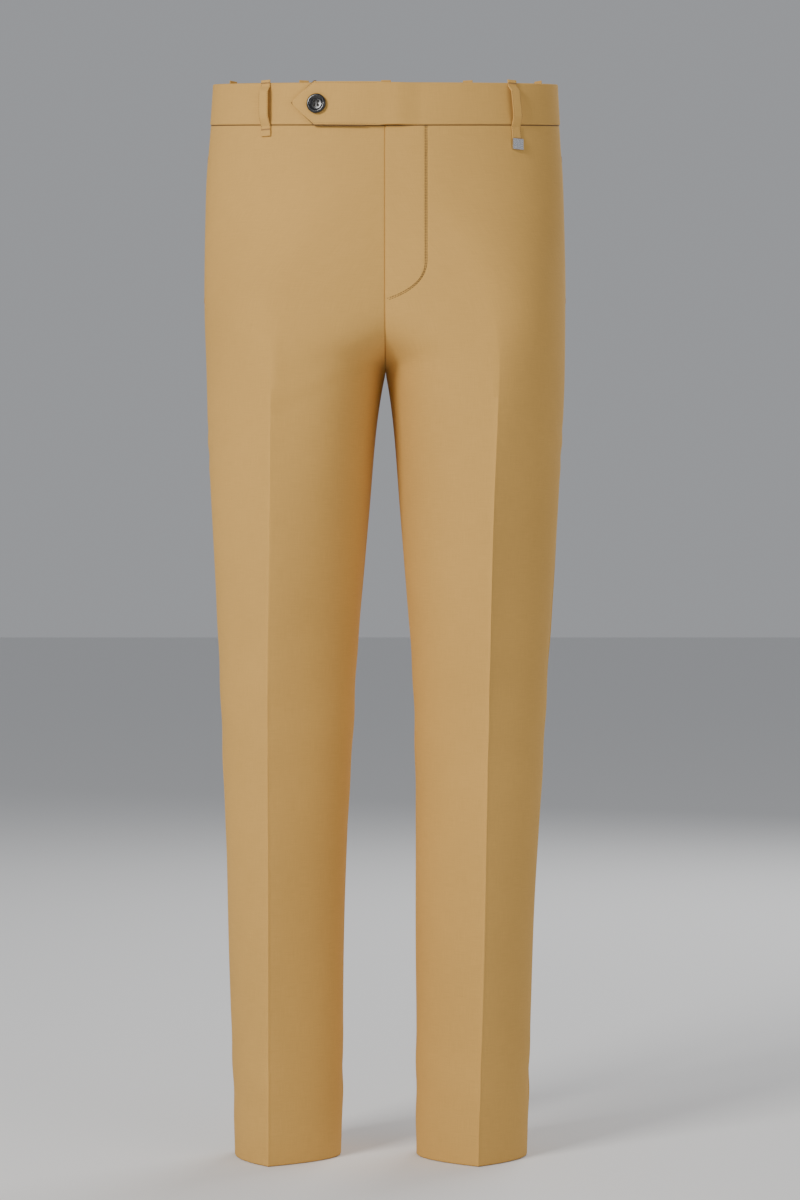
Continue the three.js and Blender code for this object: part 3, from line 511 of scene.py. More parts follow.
# ---------------------------------------- panels
def spread_columns(middle, fine_from=None):
    """Shares across a panel: close together at both seams and, where asked, near centre front."""
    edge = [0, 0.0012, 0.0025, 0.004, 0.006, 0.009, 0.013, 0.02, 0.03, 0.045, 0.06]
    body = list(np.linspace(0.075, 0.925, middle))
    if fine_from is not None:
        body = [b for b in body if b < fine_from] + list(np.arange(fine_from, 0.93, 0.0052))
    return np.array(edge + body + [1 - e for e in edge[::-1]])


UPPER_ROWS = np.concatenate([[40.3, 40.7, 41.3, 42.2, 43.6], np.arange(46, 236, 2.6)])
LOWER_ROWS = np.concatenate([np.arange(238, 1030, 6.0), [1033, 1037, 1041, 1044, 1045.4, 1046.2, 1046.7, 1047]])
ROWS = np.concatenate([UPPER_ROWS, LOWER_ROWS])
PANEL_TOP = UPPER_ROWS[0]
DEEPEST = -0.95  # an outer face stays this far clear of its inner one


def seam_turn(p, side, front, fly):
    """The outer face's offset: turned in at the seams, raised at the fly's free edge, dented under stitching."""
    left = run_across(p)
    right = left[:, -1:] - left
    offset = rounded(left, 1.7, 0.85)
    sewn = rounded(right, 1.7, 0.85)
    z = p[..., 2]
    if fly:
        free = smooth(z, -224, -216)
        offset = offset + sewn * (1 - free) + free * (rounded(right, 1.1, 0.8) + 0.35 * smooth(right, 14, 0))
        past_line = p[..., 0] - j_line(z)
        on_line = np.minimum(np.abs(past_line), np.abs(past_line - J_ROWS_APART))
        offset = offset - 0.4 * np.exp(-((on_line / 0.75) ** 2)) * (z < -50) * (z > -221)
    else:
        offset = offset + sewn
    # the pocket in the side seam stands a little open
    if front:
        mouth = smooth(z, -222, -205) * smooth(z, -66, -80)
        offset = offset + mouth * 0.35 * smooth(left, 9, 2) * smooth(left, 0.2, 1.5)
    return np.maximum(offset, DEEPEST)


def inside_leg(side, p):
    """A point inside the leg for each point of a grid, to tell the outer face from the inner."""
    away = p.copy()
    away[..., 0] = SIGN[side] * (outer_line[side](p[..., 2]) + inner_line[side](p[..., 2])) / 2
    away[..., 1] = 0
    return away


def crease_run(x, crease, run):
    """How far along a row its crease lies."""
    if np.all(np.diff(x) < 1e-6):
        return np.interp(0, crease - x, run)
    return run[np.argmin(np.abs(x - crease))]


def make_panel(side, front):
    fly = front and side == "left"
    share = spread_columns(62, 0.70 if fly else None)
    u, drop = np.meshgrid(share, ROWS)
    p = panel_point(side, front, u, drop)
    p[..., 0] = SIGN[side] * np.maximum(SIGN[side] * p[..., 0], 0.0)
    shadow_line = np.where(u < 0.5, 0.0, inseam_setback(p[..., 2]))
    p[..., 1] = np.minimum(p[..., 1], shadow_line) if front else np.maximum(p[..., 1], shadow_line)
    p[drop == OUTSEAM, 2] = -OUTSEAM
    outer = seam_turn(p, side, front, fly)
    outer = outer + rounded(OUTSEAM - drop, 1.4, 0.7) + rounded(drop - PANEL_TOP, 1.7, 0.9)
    run = run_across(p)
    crease = crease_at(side, front, p[..., 2])
    middle = np.array([crease_run(*row) for row in zip(np.abs(p[..., 0]), crease, run)])
    uv = np.stack([run - middle[:, None], -p[..., 2]], -1)
    pressed_in = smooth(drop, 235, 330) if front else smooth(drop, 300, 400)
    outer = outer + pressed_in * 0.45 * np.exp(-((uv[..., 0] / 1.5) ** 2))
    middle_seam = inner_line[side](p[:, -1, 2]) < 0

    def at_hem(f):
        """The hem stays level, and each seam's edge stays on the seam, so that neighbours meet."""
        f = f.copy()
        f[-1, :, 2] = -OUTSEAM
        f[:, 0, 1] = 0.0
        f[middle_seam, -1, 0] = 0.0
        f[~middle_seam, -1, 1] = shadow_line[~middle_seam, -1]
        return f

    name = f"{side}_{'front' if front else 'back'}"
    away, outer = inside_leg(side, p), np.maximum(outer, DEEPEST)
    o = shell(f"{name}_cloth", p, away, outer, -PLY, suiting, uv=uv, finish=at_hem)
    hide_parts(f"{name}_panel")
    if fly:
        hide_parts("fly_flap")
        fold_blend(o)
    else:
        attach(o, "root")
    return o


panels = {(s, f): make_panel(s, f) for s in ("right", "left") for f in (True, False)}


# ---------------------------------------- waistband, tab and lining
def band_rows(top, bottom):
    edge = [0, 0.15, 0.4, 0.8, 1.3, 2.0, 3.2]
    middle = list(np.linspace(top + 6, bottom - 6, 8))
    return np.array([top + e for e in edge] + middle + [bottom - e for e in edge[::-1]])


def band_rise(x):
    """How much further out the left band stands at centre front, over the underlap."""
    return 3.8 * (1 - smooth(np.abs(x), 8, 36))


def band_shadow_line(side, part, w):
    """A painted shadow line: a dark tube where a band meets the panels, standing in for the shade under the
    band's edge.
    """
    line = band_point(side, w, np.full(len(w), BAND + 0.35))
    line[:, 0] = SIGN[side] * np.maximum(SIGN[side] * line[:, 0], 0.7)
    along = np.gradient(line, axis=0)
    out = np.stack([along[:, 1], -along[:, 0], 0 * w], -1)
    outward = np.sign((out * (line - line.mean(0) * [0, 1, 1])).sum(1).mean())
    out *= outward / np.linalg.norm(out, axis=1, keepdims=True)
    shadow_line = make(f"waistband_{side}_{part}_seam", *tube(line - out * 0.25, 0.5, 7), shadow_line_and_stitch_thread, sharp=0)
    return shadow_line


def make_band(side, part):
    """The right band is one piece; the left one's front half is a mesh of its own."""
    start = [0, 0.0005, 0.0012, 0.0025, 0.004]
    if part == "whole":
        w = np.concatenate([start, np.linspace(0.008, 0.985, 148), [0.989, 0.993, 0.996, 0.998, 0.9992, 1]])
    elif part == "back":
        w = np.concatenate([start, np.linspace(0.008, 0.5, 75)])
    else:
        w = np.concatenate([np.linspace(0.5, 0.74, 36), np.linspace(0.743, 1, 88)])
    ww, dd = np.meshgrid(w, band_rows(0, BAND))
    p = band_point(side, ww, dd)
    least = np.where(ww > 0.5, 0.0 if side == "left" else GAP / 2, GAP / 2)
    p[..., 0] = SIGN[side] * np.maximum(SIGN[side] * p[..., 0], least)
    turn = rounded(np.minimum(dd, BAND - dd), 1.5, 1.1)
    run = run_across(p)
    ends = 0 * run
    if part != "front":
        ends = ends + rounded(run, 1.6, 0.9)
    if part == "whole":
        ends = ends + rounded(run[:, -1:] - run, 1.6, 0.9)
    rise = band_rise(p[..., 0]) * (ww > 0.5) if side == "left" else 0.0
    swell = 0.12 * np.sin(PI * dd / BAND)
    outer = PROUD + rise + turn + ends + swell
    inner = PROUD - BAND_THICK + rise - turn * 0.8
    uv = np.stack([run + 40, dd], -1)
    name = f"waistband_{side}_{part}_cloth"
    o = shell(name, p, np.zeros(3), outer, inner, suiting, waves=False, uv=uv)
    # painted shadow: a dark tube along the band's lower edge stands for the shade there
    shadow_line = band_shadow_line(side, part, w)
    if part == "front":
        fold_blend(shadow_line)
        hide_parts("waistband_left", "fly_waistband")
        return fold_blend(o)
    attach(shadow_line, "root")
    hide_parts(f"waistband_{side}")
    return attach(o, "root")


bands = {
    "right": make_band("right", "whole"),
    "left": make_band("left", "front"),
    "left back": make_band("left", "back"),
}

TAB_SHOULDER, TAB_TIP, TAB_OVER = 66.4, 87.0, 0.6
TAB_FACE, TAB_BACK, TAB_SEAM = 4.6, 2.9, 1.45
BACK_OF_FRONT, BACK_OF_BACK = np.array([0, 400.0, 0]), np.array([0, -400.0, 0])


def tab_blend(o):
    """Bakes the tab's placement into its mesh; its root is not bent."""
    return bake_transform(o)


def make_tab():
    point = [0.97, 0.98, 0.987, 0.993, 0.997, 1]
    u = np.concatenate([np.linspace(0, 0.12, 14), np.linspace(0.135, 0.96, 46), point])
    edge = [0, 0.004, 0.01, 0.02, 0.032, 0.05, 0.08]
    v = np.array([*edge, *np.linspace(0.12, 0.88, 25), *[1 - e for e in edge[::-1]]])
    uu, vv = np.meshgrid(u, v)
    off = np.sqrt((2 * vv - 1) ** 2 + 0.13**2) - 0.13
    off = off / off.max()
    x = uu * (-TAB_SHOULDER - (TAB_TIP - TAB_SHOULDER) * (1 - off))
    over = TAB_OVER * smooth(-x, 0, 6)
    drop = -over + vv * (BAND + 2 * over)
    p = face_point(True, x, band_top(True, x) - drop)
    side_edge = np.minimum(vv, 1 - vv) * BAND
    tip_edge = (1 - uu) * 80
    turn = rounded(np.minimum(side_edge, tip_edge), 1.6, 0.8)
    inset = np.minimum(side_edge, np.where(uu > 0.5, tip_edge * 0.76, 99))
    groove = 0.3 * bump(inset, TAB_SEAM, 0.4) * smooth(-x, 1, 6)
    outer = TAB_FACE + turn + 0.1 * np.sin(PI * vv) - groove
    inner = TAB_BACK - turn * 0.4 - 0.7 * (1 - smooth(-x, 0, 5))
    uv = np.stack([-x + 12, drop], -1)
    o = shell("closure_tab_cloth", p, BACK_OF_FRONT, outer, inner, suiting, waves=False, uv=uv)
    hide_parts("closure_tab")
    return tab_blend(o)


tab = make_tab()


def tab_outline(inset, height):
    """Points on the tab's face, a distance inside its edge, from its root over the point and back."""
    half, shoulder, tip = BAND / 2 + TAB_OVER - inset, TAB_SHOULDER + inset * 0.1, TAB_TIP - inset * 1.42
    side, point = np.linspace(7, shoulder, 60), np.linspace(0, 1, 24)[1:]
    xs = np.concatenate([side, shoulder + (tip - shoulder) * point])
    drops = np.concatenate([np.full(60, -half), -half * (1 - point)])
    xs, drops = np.concatenate([xs, xs[-2::-1]]), np.concatenate([drops, -drops[-2::-1]])
    z = band_top(True, -xs) - BAND / 2 - drops
    path = face_point(True, -xs, z)
    out = np.array([face_normal(True, -a, b) for a, b in zip(xs, z)])
    return path + out * height, out


path, out = tab_outline(TAB_SEAM, 4.42)
tab_seam = stitches("tab_edge_stitching", path, out, thread, length=1.9, pitch=2.4, radius=0.2)
# painted shadow: a dark tube round the point and along the tab's foot stands for the shade at the pressed edge
path, out = tab_outline(-0.4, 3.4)
tab_edge = make("tab_edge_shadow_line", *tube(path[57:154], 0.6, 7), shadow_line_and_stitch_thread, sharp=0)
for o in (tab_seam, tab_edge):
    tab_blend(o)


def make_curtain(side):
    end = (26 if side == "right" else 23) / 28  # the left one stops before the fold
    ww, dd = np.meshgrid(np.linspace(0, end, 120), band_rows(13.4, 80))
    p = band_point(side, ww, dd)
    p[..., 0] = SIGN[side] * np.maximum(SIGN[side] * p[..., 0], GAP / 2)
    outer = -1.95 - 0.5 * smooth(dd, 24, 38)
    inner = outer - 0.8 - 0.45 * bump(dd, 76, 4)
    uv = np.stack([ww * 560, dd], -1)
    name = f"curtain_{side}_lining"
    o = shell(name, p, np.zeros(3), outer, inner, lining, waves=False, uv=uv)
    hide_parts(f"waistband_curtain_{side}")
    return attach(o, "root")


curtains = {s: make_curtain(s) for s in ("right", "left")}


def place_grid(front, xs, zs_from, zs_to, rows):
    x, t = np.meshgrid(xs, rows)
    a, b = zs_from(x), zs_to(x)
    return face_point(front, x, a + (b - a) * t), t


def strip_rows(n=12):
    return np.array([0, 0.01, 0.03, 0.06, *np.linspace(0.1, 0.9, n), 0.94, 0.97, 0.99, 1])


def level(z):
    """A height that is the same at every x."""
    return lambda x: z + 0 * x


p, t = place_grid(
    True,
    np.linspace(-8, 36, 24),
    lambda x: band_top(True, x) - 1.5,
    lambda x: band_top(True, x) - 38.5,
    strip_rows(),
)
underlap = shell("underlap_cloth", p, BACK_OF_FRONT, -1.9, -3.5, suiting, waves=False)
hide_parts("waistband_underlap")
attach(underlap, "root")

p, t = place_grid(True, np.linspace(7.5, 38, 26), level(-55.8), level(-205), np.linspace(0, 1, 70))
facing = shell("fly_facing_cloth", p, BACK_OF_FRONT, -1.5, -2.1, suiting, waves=False)
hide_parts("fly_facing", "fly_facing_base")
fold_blend(facing)

ZIP_X, ZIP_Y = 6.0, -93.2
TOP_Z, LOW_Z = -58.5, -205.0
TOOTH_HALF, TEETH_SPAN, TAPE_GAP, TAPE_WIDTH = 1.1, 2.3, 0.3, 12


def make_tape(direction):
    start = ZIP_X + direction * (TOOTH_HALF + TEETH_SPAN + TAPE_GAP)
    xs = np.linspace(start, start + direction * TAPE_WIDTH, 16)
    x, z = np.meshgrid(xs, np.linspace(TOP_Z, LOW_Z, 64))
    u = (x - start) / (direction * TAPE_WIDTH)
    cover = 1.5 if direction < 0 else 2.4
    sewn = face_point(True, x, z)[..., 1] + cover
    y = (ZIP_Y - 0.3) + (sewn - (ZIP_Y - 0.3)) * smooth(u, 0, 0.6)
    p = np.stack([x, y, z], -1)
    side = "right" if direction < 0 else "left"
    return shell(f"zip_tape_{side}_cloth", p, BACK_OF_FRONT, 0.0, -0.6, tape_cloth, waves=False)


tape_right = make_tape(-1)
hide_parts("zip_tape_right")
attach(tape_right, "root")
tape_left = make_tape(1)
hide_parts("zip_tape_left", "zip_tape_left_base")
fold_blend(tape_left)

x, z = np.meshgrid(np.linspace(-12, 36, 34), np.linspace(-53.5, -209, 60))
u = (x + 12) / 48
sewn = face_point(True, x, z)[..., 1] + 2.4
y = sewn + (-90.8 - sewn) * smooth(u, 0.02, 0.23)
p = np.stack([x, y, z], -1)
shield = shell("fly_shield_cloth", p, BACK_OF_FRONT, 0.0, -0.8, suiting, waves=False)
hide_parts("fly_shield")
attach(shield, "root")


# ---------------------------------------- belt loops
LOOP_WIDTH, LOOP_TOP, LOOP_END = 10, 2.5, 51.5


def make_loop(name, front, x, lean, extra):
    """A belt loop over the band: sewn flat at both ends, bowed away between; extra lengthens its foot."""
    length = LOOP_END + extra + LOOP_TOP
    v = np.array([0, 0.004, 0.01, 0.02, 0.035, *np.linspace(0.055, 0.945, 44), 0.965, 0.98, 0.99, 0.996, 1])
    u = np.array([0, 0.02, 0.06, 0.12, 0.22, 0.36, 0.5, 0.64, 0.78, 0.88, 0.94, 0.98, 1])
    uu, vv = np.meshgrid(u, v)
    drop = -LOOP_TOP + length * vv
    n = face_normal(front, np.float64(x), band_top(front, x) - BAND / 2)
    out = np.array([n[0], n[1], 0.0])
    out /= np.linalg.norm(out)
    along = np.array([-out[1], out[0], 0.0])
    stand = PROUD * (1 - smooth(drop, 38, 43)) + 0.5 + 4.6 * smooth(drop, 3, 10) * (1 - smooth(drop, 31, 43))
    xs = x + lean * (vv - 0.5) + along[0] * (uu - 0.5) * LOOP_WIDTH
    p = face_point(front, xs, band_top(front, x) - drop) + out * stand[..., None]
    edge = np.minimum(uu, 1 - uu) * LOOP_WIDTH
    ends = np.minimum(vv, 1 - vv) * length
    turn = rounded(edge, 0.9, 0.5) + rounded(ends, 0.8, 0.5)
    fold = 0.45 * smooth(ends, 7.0, 5.6) * (vv > 0.5)
    outer = 1.25 + turn + fold
    inner = 0.05 - turn * 0.6
    uv = np.stack([uu * LOOP_WIDTH + 15, drop], -1)
    o = shell(f"{name}_cloth", p, p - out * 50, outer, inner, suiting, waves=False, uv=uv)
    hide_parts(name)
    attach(o, "root")
    for k, column in ((2, 0), (len(u) - 3, 1)):
        path = p[4:-4, k] + out * 1.12
        outs = np.repeat(out[None], len(path), 0)
        row = f"{name}_stitching_{column}"
        shadow_line = stitches(row, path, outs, shadow_line_and_stitch_thread, length=1.8, pitch=2.1, radius=0.24)
        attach(shadow_line, "root")
    # a bar of close stitches across each end
    bars = []
    for where in (0.055, 0.9 if extra else 0.89):
        k = int(np.argmin(np.abs(v - where)))
        across = p[k, 1:-1] + out * (1.25 + (0.35 if where > 0.5 else 0.0))
        down = p[k + 1, 6] - p[k, 6]
        down /= np.linalg.norm(down)
        bars += [tube(across + down * d, 0.2, 5) for d in (-0.55, -0.18, 0.18, 0.55)]
    made = make(f"{name}_bartacks", *gathered(bars), thread, sharp=0)
    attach(made, "root")
    return o


LOOPS = [
    ("belt_loop_front_left", True, 123, 6, 8),
    ("belt_loop_front_right", True, -113, 0, 0),
    ("belt_loop_side_right", False, -150, 0, 0),
    ("belt_loop_side_left", False, 150, 0, 0),
    ("belt_loop_back_right", False, -82, 0, 0),
    ("belt_loop_back_left", False, 82, 0, 0),
    ("belt_loop_centre_back", False, 0, 0, 0),
]
loops = [make_loop(*each) for each in LOOPS]


# ---------------------------------------- pockets, darts and hems
POCKET_X, POCKET_LENGTH, WELT_HIGH = 88, 130, 6


def make_welt(side, name, top):
    xs = SIGN[side] * (POCKET_X + (np.linspace(0, 1, 80) - 0.5) * POCKET_LENGTH)
    rows = np.array([0, 0.03, 0.08, 0.16, 0.28, 0.42, 0.58, 0.72, 0.84, 0.92, 0.97, 1])
    p, t = place_grid(False, xs, level(-top), level(-top - WELT_HIGH), rows)
    along = np.minimum(np.abs(xs - xs[0]), np.abs(xs - xs[-1]))[None, :]
    turn = rounded(np.minimum(np.minimum(t, 1 - t) * WELT_HIGH, along), 1.6, 0.75)
    node = f"back_welt_{name}_{side}"
    o = shell(f"{node}_cloth", p, BACK_OF_BACK, 1.15 + turn, -0.15, suiting, waves=False)
    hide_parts(node)
    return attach(o, "root")


def on_back(x, z, lift):
    n = face_normal(False, np.float64(x), np.float64(z))
    return face_point(False, np.float64(x), np.float64(z)) + n * lift, n


def make_back_details(side):
    s = SIGN[side]
    made = [make_welt(side, "upper", 92.0), make_welt(side, "lower", 98.3)]
    # the dart from the band down to the pocket
    zs = np.linspace(-27, -91.5, 50)
    ridge = np.array([on_back(s * POCKET_X, z, 0.05)[0] for z in zs])
    dart = tube(ridge, 0.5 * np.linspace(1, 0.6, 50) ** 0.5, 8)
    made.append(make(f"dart_{side}", *dart, suiting_plain, sharp=0))
    # bars across the pocket's two ends, and a worked buttonhole
    bars = []
    for x in (POCKET_X - POCKET_LENGTH / 2 - 0.5, POCKET_X + POCKET_LENGTH / 2 + 0.5):
        for d in np.linspace(-0.9, 0.9, 5):
            path = [on_back(s * (x + d), z, 0.75)[0] for z in np.linspace(-91, -105, 12)]
            bars.append(tube(path, 0.24, 5))
    turn = np.linspace(0, 2 * PI, 60, endpoint=False)
    for ring in (1.1, 1.7):
        path = [on_back(s * POCKET_X + ring * math.cos(a), -116 + 10.5 * math.sin(a), 0.1)[0] for a in turn]
        bars.append(tube(path, 0.42, 6, closed=True))
    made.append(make(f"pocket_stitching_{side}", *gathered(bars), thread, sharp=0))
    for o in made[2:]:
        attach(o, "root")
    return made


suiting_plain = solid_shader("suiting_fold", TAN, 0.86, 1200.0, 0.1, depth=THREAD_DEPTH)
back_details = {s: make_back_details(s) for s in ("right", "left")}


def make_bag(side, front):
    share = np.linspace(0, 8 / 14, 40) if front else np.linspace(4 / 14, 11 / 14, 40)
    drops = np.linspace(88.7, 276, 60) if front else np.linspace(110.4, 253, 50)
    u, drop = np.meshgrid(share, drops)
    p = panel_point(side, front, u, drop)
    if front:
        p[..., 1] = np.minimum(p[..., 1], -GAP / 2)
    across = np.minimum(u - share[0], share[-1] - u) * 300
    edge = np.minimum(np.minimum(drop - drops[0], drops[-1] - drop), across)
    inner = -2.9 - 0.25 * np.sin(drop * 0.09 + u * 9) * smooth(edge, 0, 20) + 0.5 * bump(edge, 5, 1.6)
    kind = "side" if front else "back"
    o = shell(f"{kind}_bag_{side}_cloth", p, inside_leg(side, p), -1.5, inner, pocketing)
    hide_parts(f"{kind}_pocket_bag_{side}")
    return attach(o, "root")


bags = [make_bag(s, f) for s in ("right", "left") for f in (True, False)]


HEM_TOP = 1007


def make_hem(side):
    share = np.linspace(0, 1, 57)
    fine = [1044, 1045.5, 1046.4, OUTSEAM]
    drops = np.array([HEM_TOP, 1007.4, 1008, 1009, 1011, *np.linspace(1014, 1041, 10), *fine])
    parts = []
    for front in (True, False):
        u, drop = np.meshgrid(share[:-1] if front else share[:0:-1], drops)
        parts.append(panel_point(side, front, u, drop))
    p = np.concatenate(parts, 1)
    p[-1, :, 2] = -OUTSEAM

    def at_hem(f):
        f = f.copy()
        f[-1, :, 2] = -OUTSEAM
        return f

    drop = np.broadcast_to(drops[:, None], p.shape[:2])
    inner = -3.4 + 1.2 * (1 - smooth(drop - HEM_TOP, 0, 5)) + 0.5 * (1 - smooth(OUTSEAM - drop, 0, 1.2))
    node = f"hem_facing_{side}"
    away = inside_leg(side, p)
    o = shell(f"{node}_cloth", p, away, -1.5, inner, suiting, ring=True, finish=at_hem)
    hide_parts(node)
    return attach(o, "root")


hems = [make_hem(s) for s in ("right", "left")]

# ---------------------------------------- stitching on the fly and the pocket ends
z = np.concatenate([np.linspace(-53, -186, 120), np.linspace(-187, -219.78, 90)])
rows = []
for shift in (0.0, J_ROWS_APART):
    x = j_line(z) + shift * np.where(z > J_TURN, 1, np.clip((z + 221) / 35, 0.35, 1))
    zz = z - shift * smooth(-z, 186, 215) * 0.9
    path = face_point(True, x, zz)
    out = np.array([face_normal(True, a, b) for a, b in zip(x, zz)])
    rows.append(stitches(f"fly_stitching_{len(rows) + 1}", path, out, shadow_line_and_stitch_thread, pitch=2.7, radius=0.32))
for o in rows:
    fold_blend(o)

bars = []
for side in ("right", "left"):
    for drop in (74.0, 212.0):
        for d in np.linspace(-2.4, 2.4, 9):
            path = []
            for a in np.linspace(-0.021, 0.045, 9):
                at = body_point(side, a > 0, np.float64(abs(a)), np.float64(-drop - d))
                path.append(at + np.array([SIGN[side] * 0.18, 0, 0]))
            bars.append(tube(path, 0.3, 5))
pocket_bars = make("side_pocket_bartacks", *gathered(bars), thread, sharp=0)
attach(pocket_bars, "root")


# ---------------------------------------- buttons
def seat_matrix(at, normal):
    up = np.array([0, 0, 1.0]) - normal * normal[2]
    up /= np.linalg.norm(up)
    across = np.cross(normal, up)
    m = Matrix.Identity(4)
    for row in range(3):
        m[row][0], m[row][1], m[row][2], m[row][3] = across[row], normal[row], up[row], at[row] * MM
    return m


def make_button(name, radius, thick, front, x, z, offset, material):
    """A turned four-hole button: rounded back, raised rim, dished middle."""
    line = [
        (0, 0), (0.6, 0), (0.8, 0.03), (0.9, 0.12), (0.965, 0.26), (0.99, 0.42), (0.985, 0.6), (0.955, 0.78),
        (0.9, 0.92), (0.84, 0.985), (0.78, 1.0), (0.72, 0.97), (0.665, 0.88), (0.62, 0.77), (0.575, 0.695),
        (0.52, 0.665), (0, 0.66),
    ]
    steps = 72
    bm = bmesh.new()
    rings = []
    for r, h in line:
        reach, high = r * radius * MM, h * thick * MM
        turn = np.linspace(0, 2 * PI, steps, endpoint=False) if r else [0.0]
        rings.append([bm.verts.new((math.cos(a) * reach, high, math.sin(a) * reach)) for a in turn])
    for a, b in zip(rings[:-1], rings[1:]):
        for k in range(steps):
            j = (k + 1) % steps
            if len(a) == 1:
                bm.faces.new([a[0], b[k], b[j]])
            elif len(b) == 1:
                bm.faces.new([a[k], a[j], b[0]])
            else:
                bm.faces.new([a[k], a[j], b[j], b[k]])
    bmesh.ops.recalc_face_normals(bm, faces=bm.faces)
    disc = bpy.data.meshes.new(name)
    bm.to_mesh(disc)
    bm.free()
    o = bpy.data.objects.new(name, disc)
    cut = bmesh.new()
    gap, hole = 1.8 * radius / 9.5, 1.0 * radius / 9.5
    for sx in (-1, 1):
        for sz in (-1, 1):
            size = {"radius1": hole * MM, "radius2": hole * 1.12 * MM, "depth": thick * 3 * MM}
            drilled = bmesh.ops.create_cone(cut, cap_ends=True, segments=24, **size)["verts"]
            bmesh.ops.rotate(cut, verts=drilled, cent=(0, 0, 0), matrix=Matrix.Rotation(PI / 2, 3, "X"))
            bmesh.ops.translate(cut, verts=drilled, vec=(sx * gap * MM, thick * 0.5 * MM, sz * gap * MM))
    tool_mesh = bpy.data.meshes.new(name + "_holes")
    cut.to_mesh(tool_mesh)
    cut.free()
    tool = bpy.data.objects.new(name + "_holes", tool_mesh)
    for each in (o, tool):
        bpy.context.scene.collection.objects.link(each)
    mod = o.modifiers.new("holes", "BOOLEAN")
    mod.object = tool
    mod.solver = "EXACT"
    done = bpy.data.meshes.new_from_object(o.evaluated_get(bpy.context.evaluated_depsgraph_get()))
    o.modifiers.clear()
    o.data = done
    bpy.data.objects.remove(tool)
    n = face_normal(front, np.float64(x), np.float64(z))
    at = face_point(front, np.float64(x), np.float64(z)) + n * offset
    done.transform(seat_matrix(at, n))
    done.materials.clear()
    done.materials.append(material)
    done.shade_smooth()
    done.set_sharp_from_angle(angle=math.radians(38))
    return o, at, n


TAB_X = -63.6
TAB_Z = float(band_top(True, TAB_X)) - 21
SHANK = 1.0
button, at, n = make_button(
    "tab_button_horn", 9.5, 3.2, True, TAB_X, TAB_Z, TAB_FACE + SHANK, black_horn
)
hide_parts("tab_button")
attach(button, "tab")


def strands(name, at, n, foot, thick, spread, material, body):
    """Two bars of waxed thread over the button's face, and the shank below it."""
    up = np.array([0, 0, 1.0]) - n * n[2]
    up /= np.linalg.norm(up)
    across = np.cross(n, up)
    dish = thick * 0.66
    parts = []
    for sx in (-1, 1):
        for j, d in enumerate(np.linspace(-0.42, 0.42, 4) * spread / 1.8):
            path = []
            for t in np.linspace(-1, 1, 15):
                high = dish + 0.28 - max(abs(t) - 0.8, 0) * 7 + 0.1 * math.sin(j * 2.1)
                path.append(at + across * (sx * spread + d) + up * (t * spread * 1.12) + n * high)
            parts.append(tube(path, 0.2, 6))
        for sz in (-1, 1):
            hole = across * sx * spread + up * sz * spread
            path = [at + hole * k + n * h for k, h in ((0.7, -foot), (0.85, 0.2), (1.0, dish - 0.2))]
            parts.append(tube(path, 0.5, 7))
    o = make(name, *gathered(parts), material, sharp=0)
    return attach(o, body)


holder = strands("tab_button_thread", at, n, 0.9, 3.2, 1.8, dark_thread, "tab")
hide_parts("button_thread")
for side in ("right", "left"):
    x, z = SIGN[side] * POCKET_X, -120.0
    o, at, n = make_button(f"back_button_{side}", 7.5, 2.4, False, x, z, 0.55, brown_horn)
    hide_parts(f"back_pocket_button_{side}")
    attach(o, "root")
    strands(f"back_button_thread_{side}", at, n, 0.4, 2.4, 1.42, thread, "root")

# ---------------------------------------- metal pieces keep their CAD shape, with their edges broken
METAL = [
    *[(f"zip_teeth_{row}", brass) for row in ("right", "left", "left_base")],
    *[(f"zip_{part}", brass) for part in ("bottom_stop", "slider", "pull")],
    *[(node, steel) for node in ("waist_hook", "waist_hook_bar", "loop_tag")],
]
for node, material in METAL:
    o = bpy.data.objects[node]
    o.data.materials.clear()
    o.data.materials.append(material)
    soft = o.modifiers.new("edges", "BEVEL")
    soft.width = 0.00012 if node != "loop_tag" else 0.00025
    soft.segments = 2
    soft.limit_method = "ANGLE"
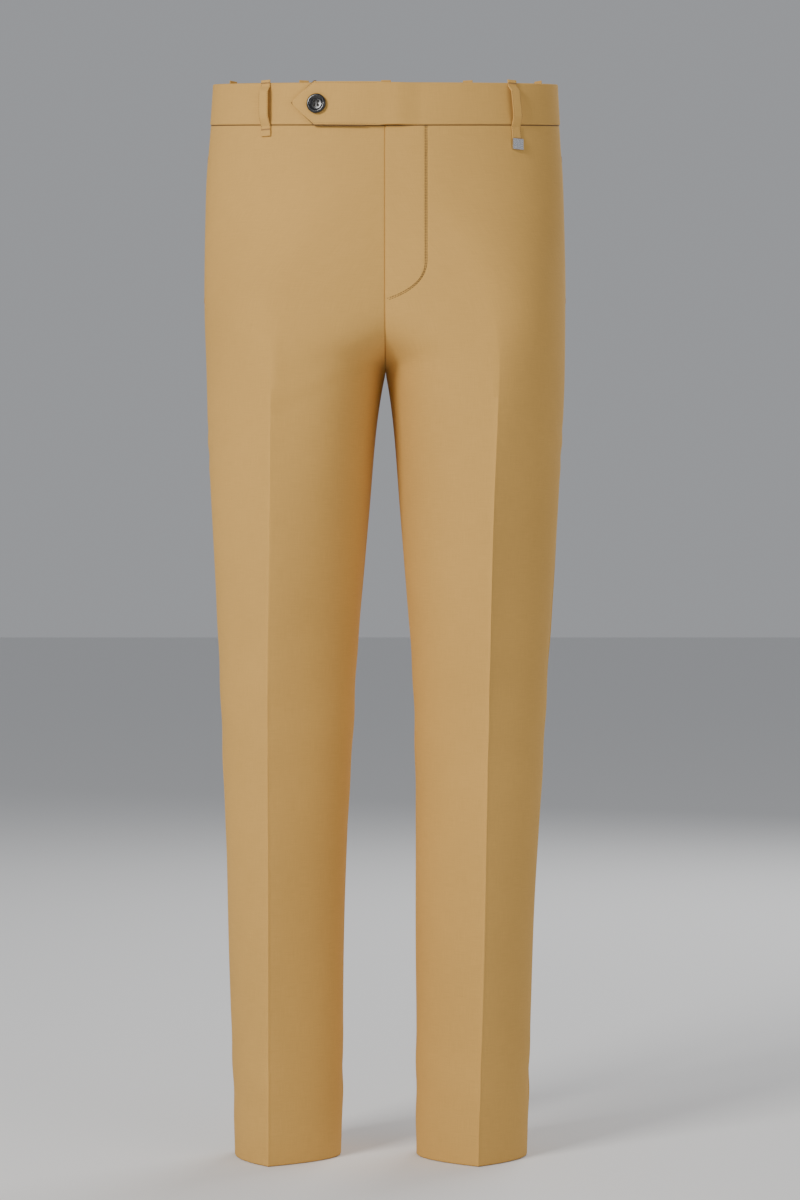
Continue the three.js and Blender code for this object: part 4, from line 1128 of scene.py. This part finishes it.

# ---------------------------------------- the size each sheet of cloth measures, read and left unused
for (side, front), o in panels.items():
    cloth_sheet(o)
small_sheets = (tab, underlap, facing, shield, tape_right, tape_left)
for o in (*bands.values(), *small_sheets, *curtains.values(), *bags, *hems, *loops):
    cloth_sheet(o)

# ---------------------------------------- floor, light and camera
FAR, FLOOR_Z = 40, -1.0475
floor_mesh = bpy.data.meshes.new("floor")
corners = [(-FAR, -FAR), (FAR, -FAR), (FAR, FAR), (-FAR, FAR)]
floor_mesh.from_pydata([(x, y, FLOOR_Z) for x, y in corners], [], [(0, 1, 2, 3)])
floor = bpy.data.objects.new("floor", floor_mesh)
bpy.context.scene.collection.objects.link(floor)
pale = bpy.data.materials.new("pale_floor")
pale.use_nodes = True
painted = pale.node_tree.nodes["Principled BSDF"].inputs
painted["Base Color"].default_value = (0.80, 0.80, 0.80, 1)
painted["Roughness"].default_value = 0.9
floor_mesh.materials.append(pale)

world = bpy.data.worlds.new("studio")
bpy.context.scene.world = world
world.use_nodes = True
background = world.node_tree.nodes["Background"].inputs
background["Color"].default_value = (0.80, 0.82, 0.86, 1)
background["Strength"].default_value = 0.42


def area_light(name, at, look, size, power, color=(1, 1, 1)):
    light = bpy.data.lights.new(name, "AREA")
    light.shape = "SQUARE"
    light.size = size
    light.energy = power
    light.color = color
    o = bpy.data.objects.new(name, light)
    bpy.context.scene.collection.objects.link(o)
    o.location = at
    o.rotation_euler = (Vector(look) - Vector(at)).to_track_quat("-Z", "Y").to_euler()
    return o


MIDDLE = (0, 0, -0.5)
lights = [
    area_light("key", (-2.0, -2.4, 1.1), MIDDLE, 1.0, 100, (1.0, 0.98, 0.94)),
    area_light("fill", (2.2, -2.6, 0.0), MIDDLE, 2.0, 22),
    area_light("back", (1.4, 2.6, 1.4), MIDDLE, 2.0, 60),
]

camera = bpy.data.objects.new("camera", bpy.data.cameras.new("camera"))
bpy.context.scene.collection.objects.link(camera)
camera.data.sensor_width = 36
camera.data.lens = 88.8
camera.location = (0.0142, -2.9, -0.505)
camera.rotation_euler = (PI / 2, 0, 0)
bpy.context.scene.camera = camera
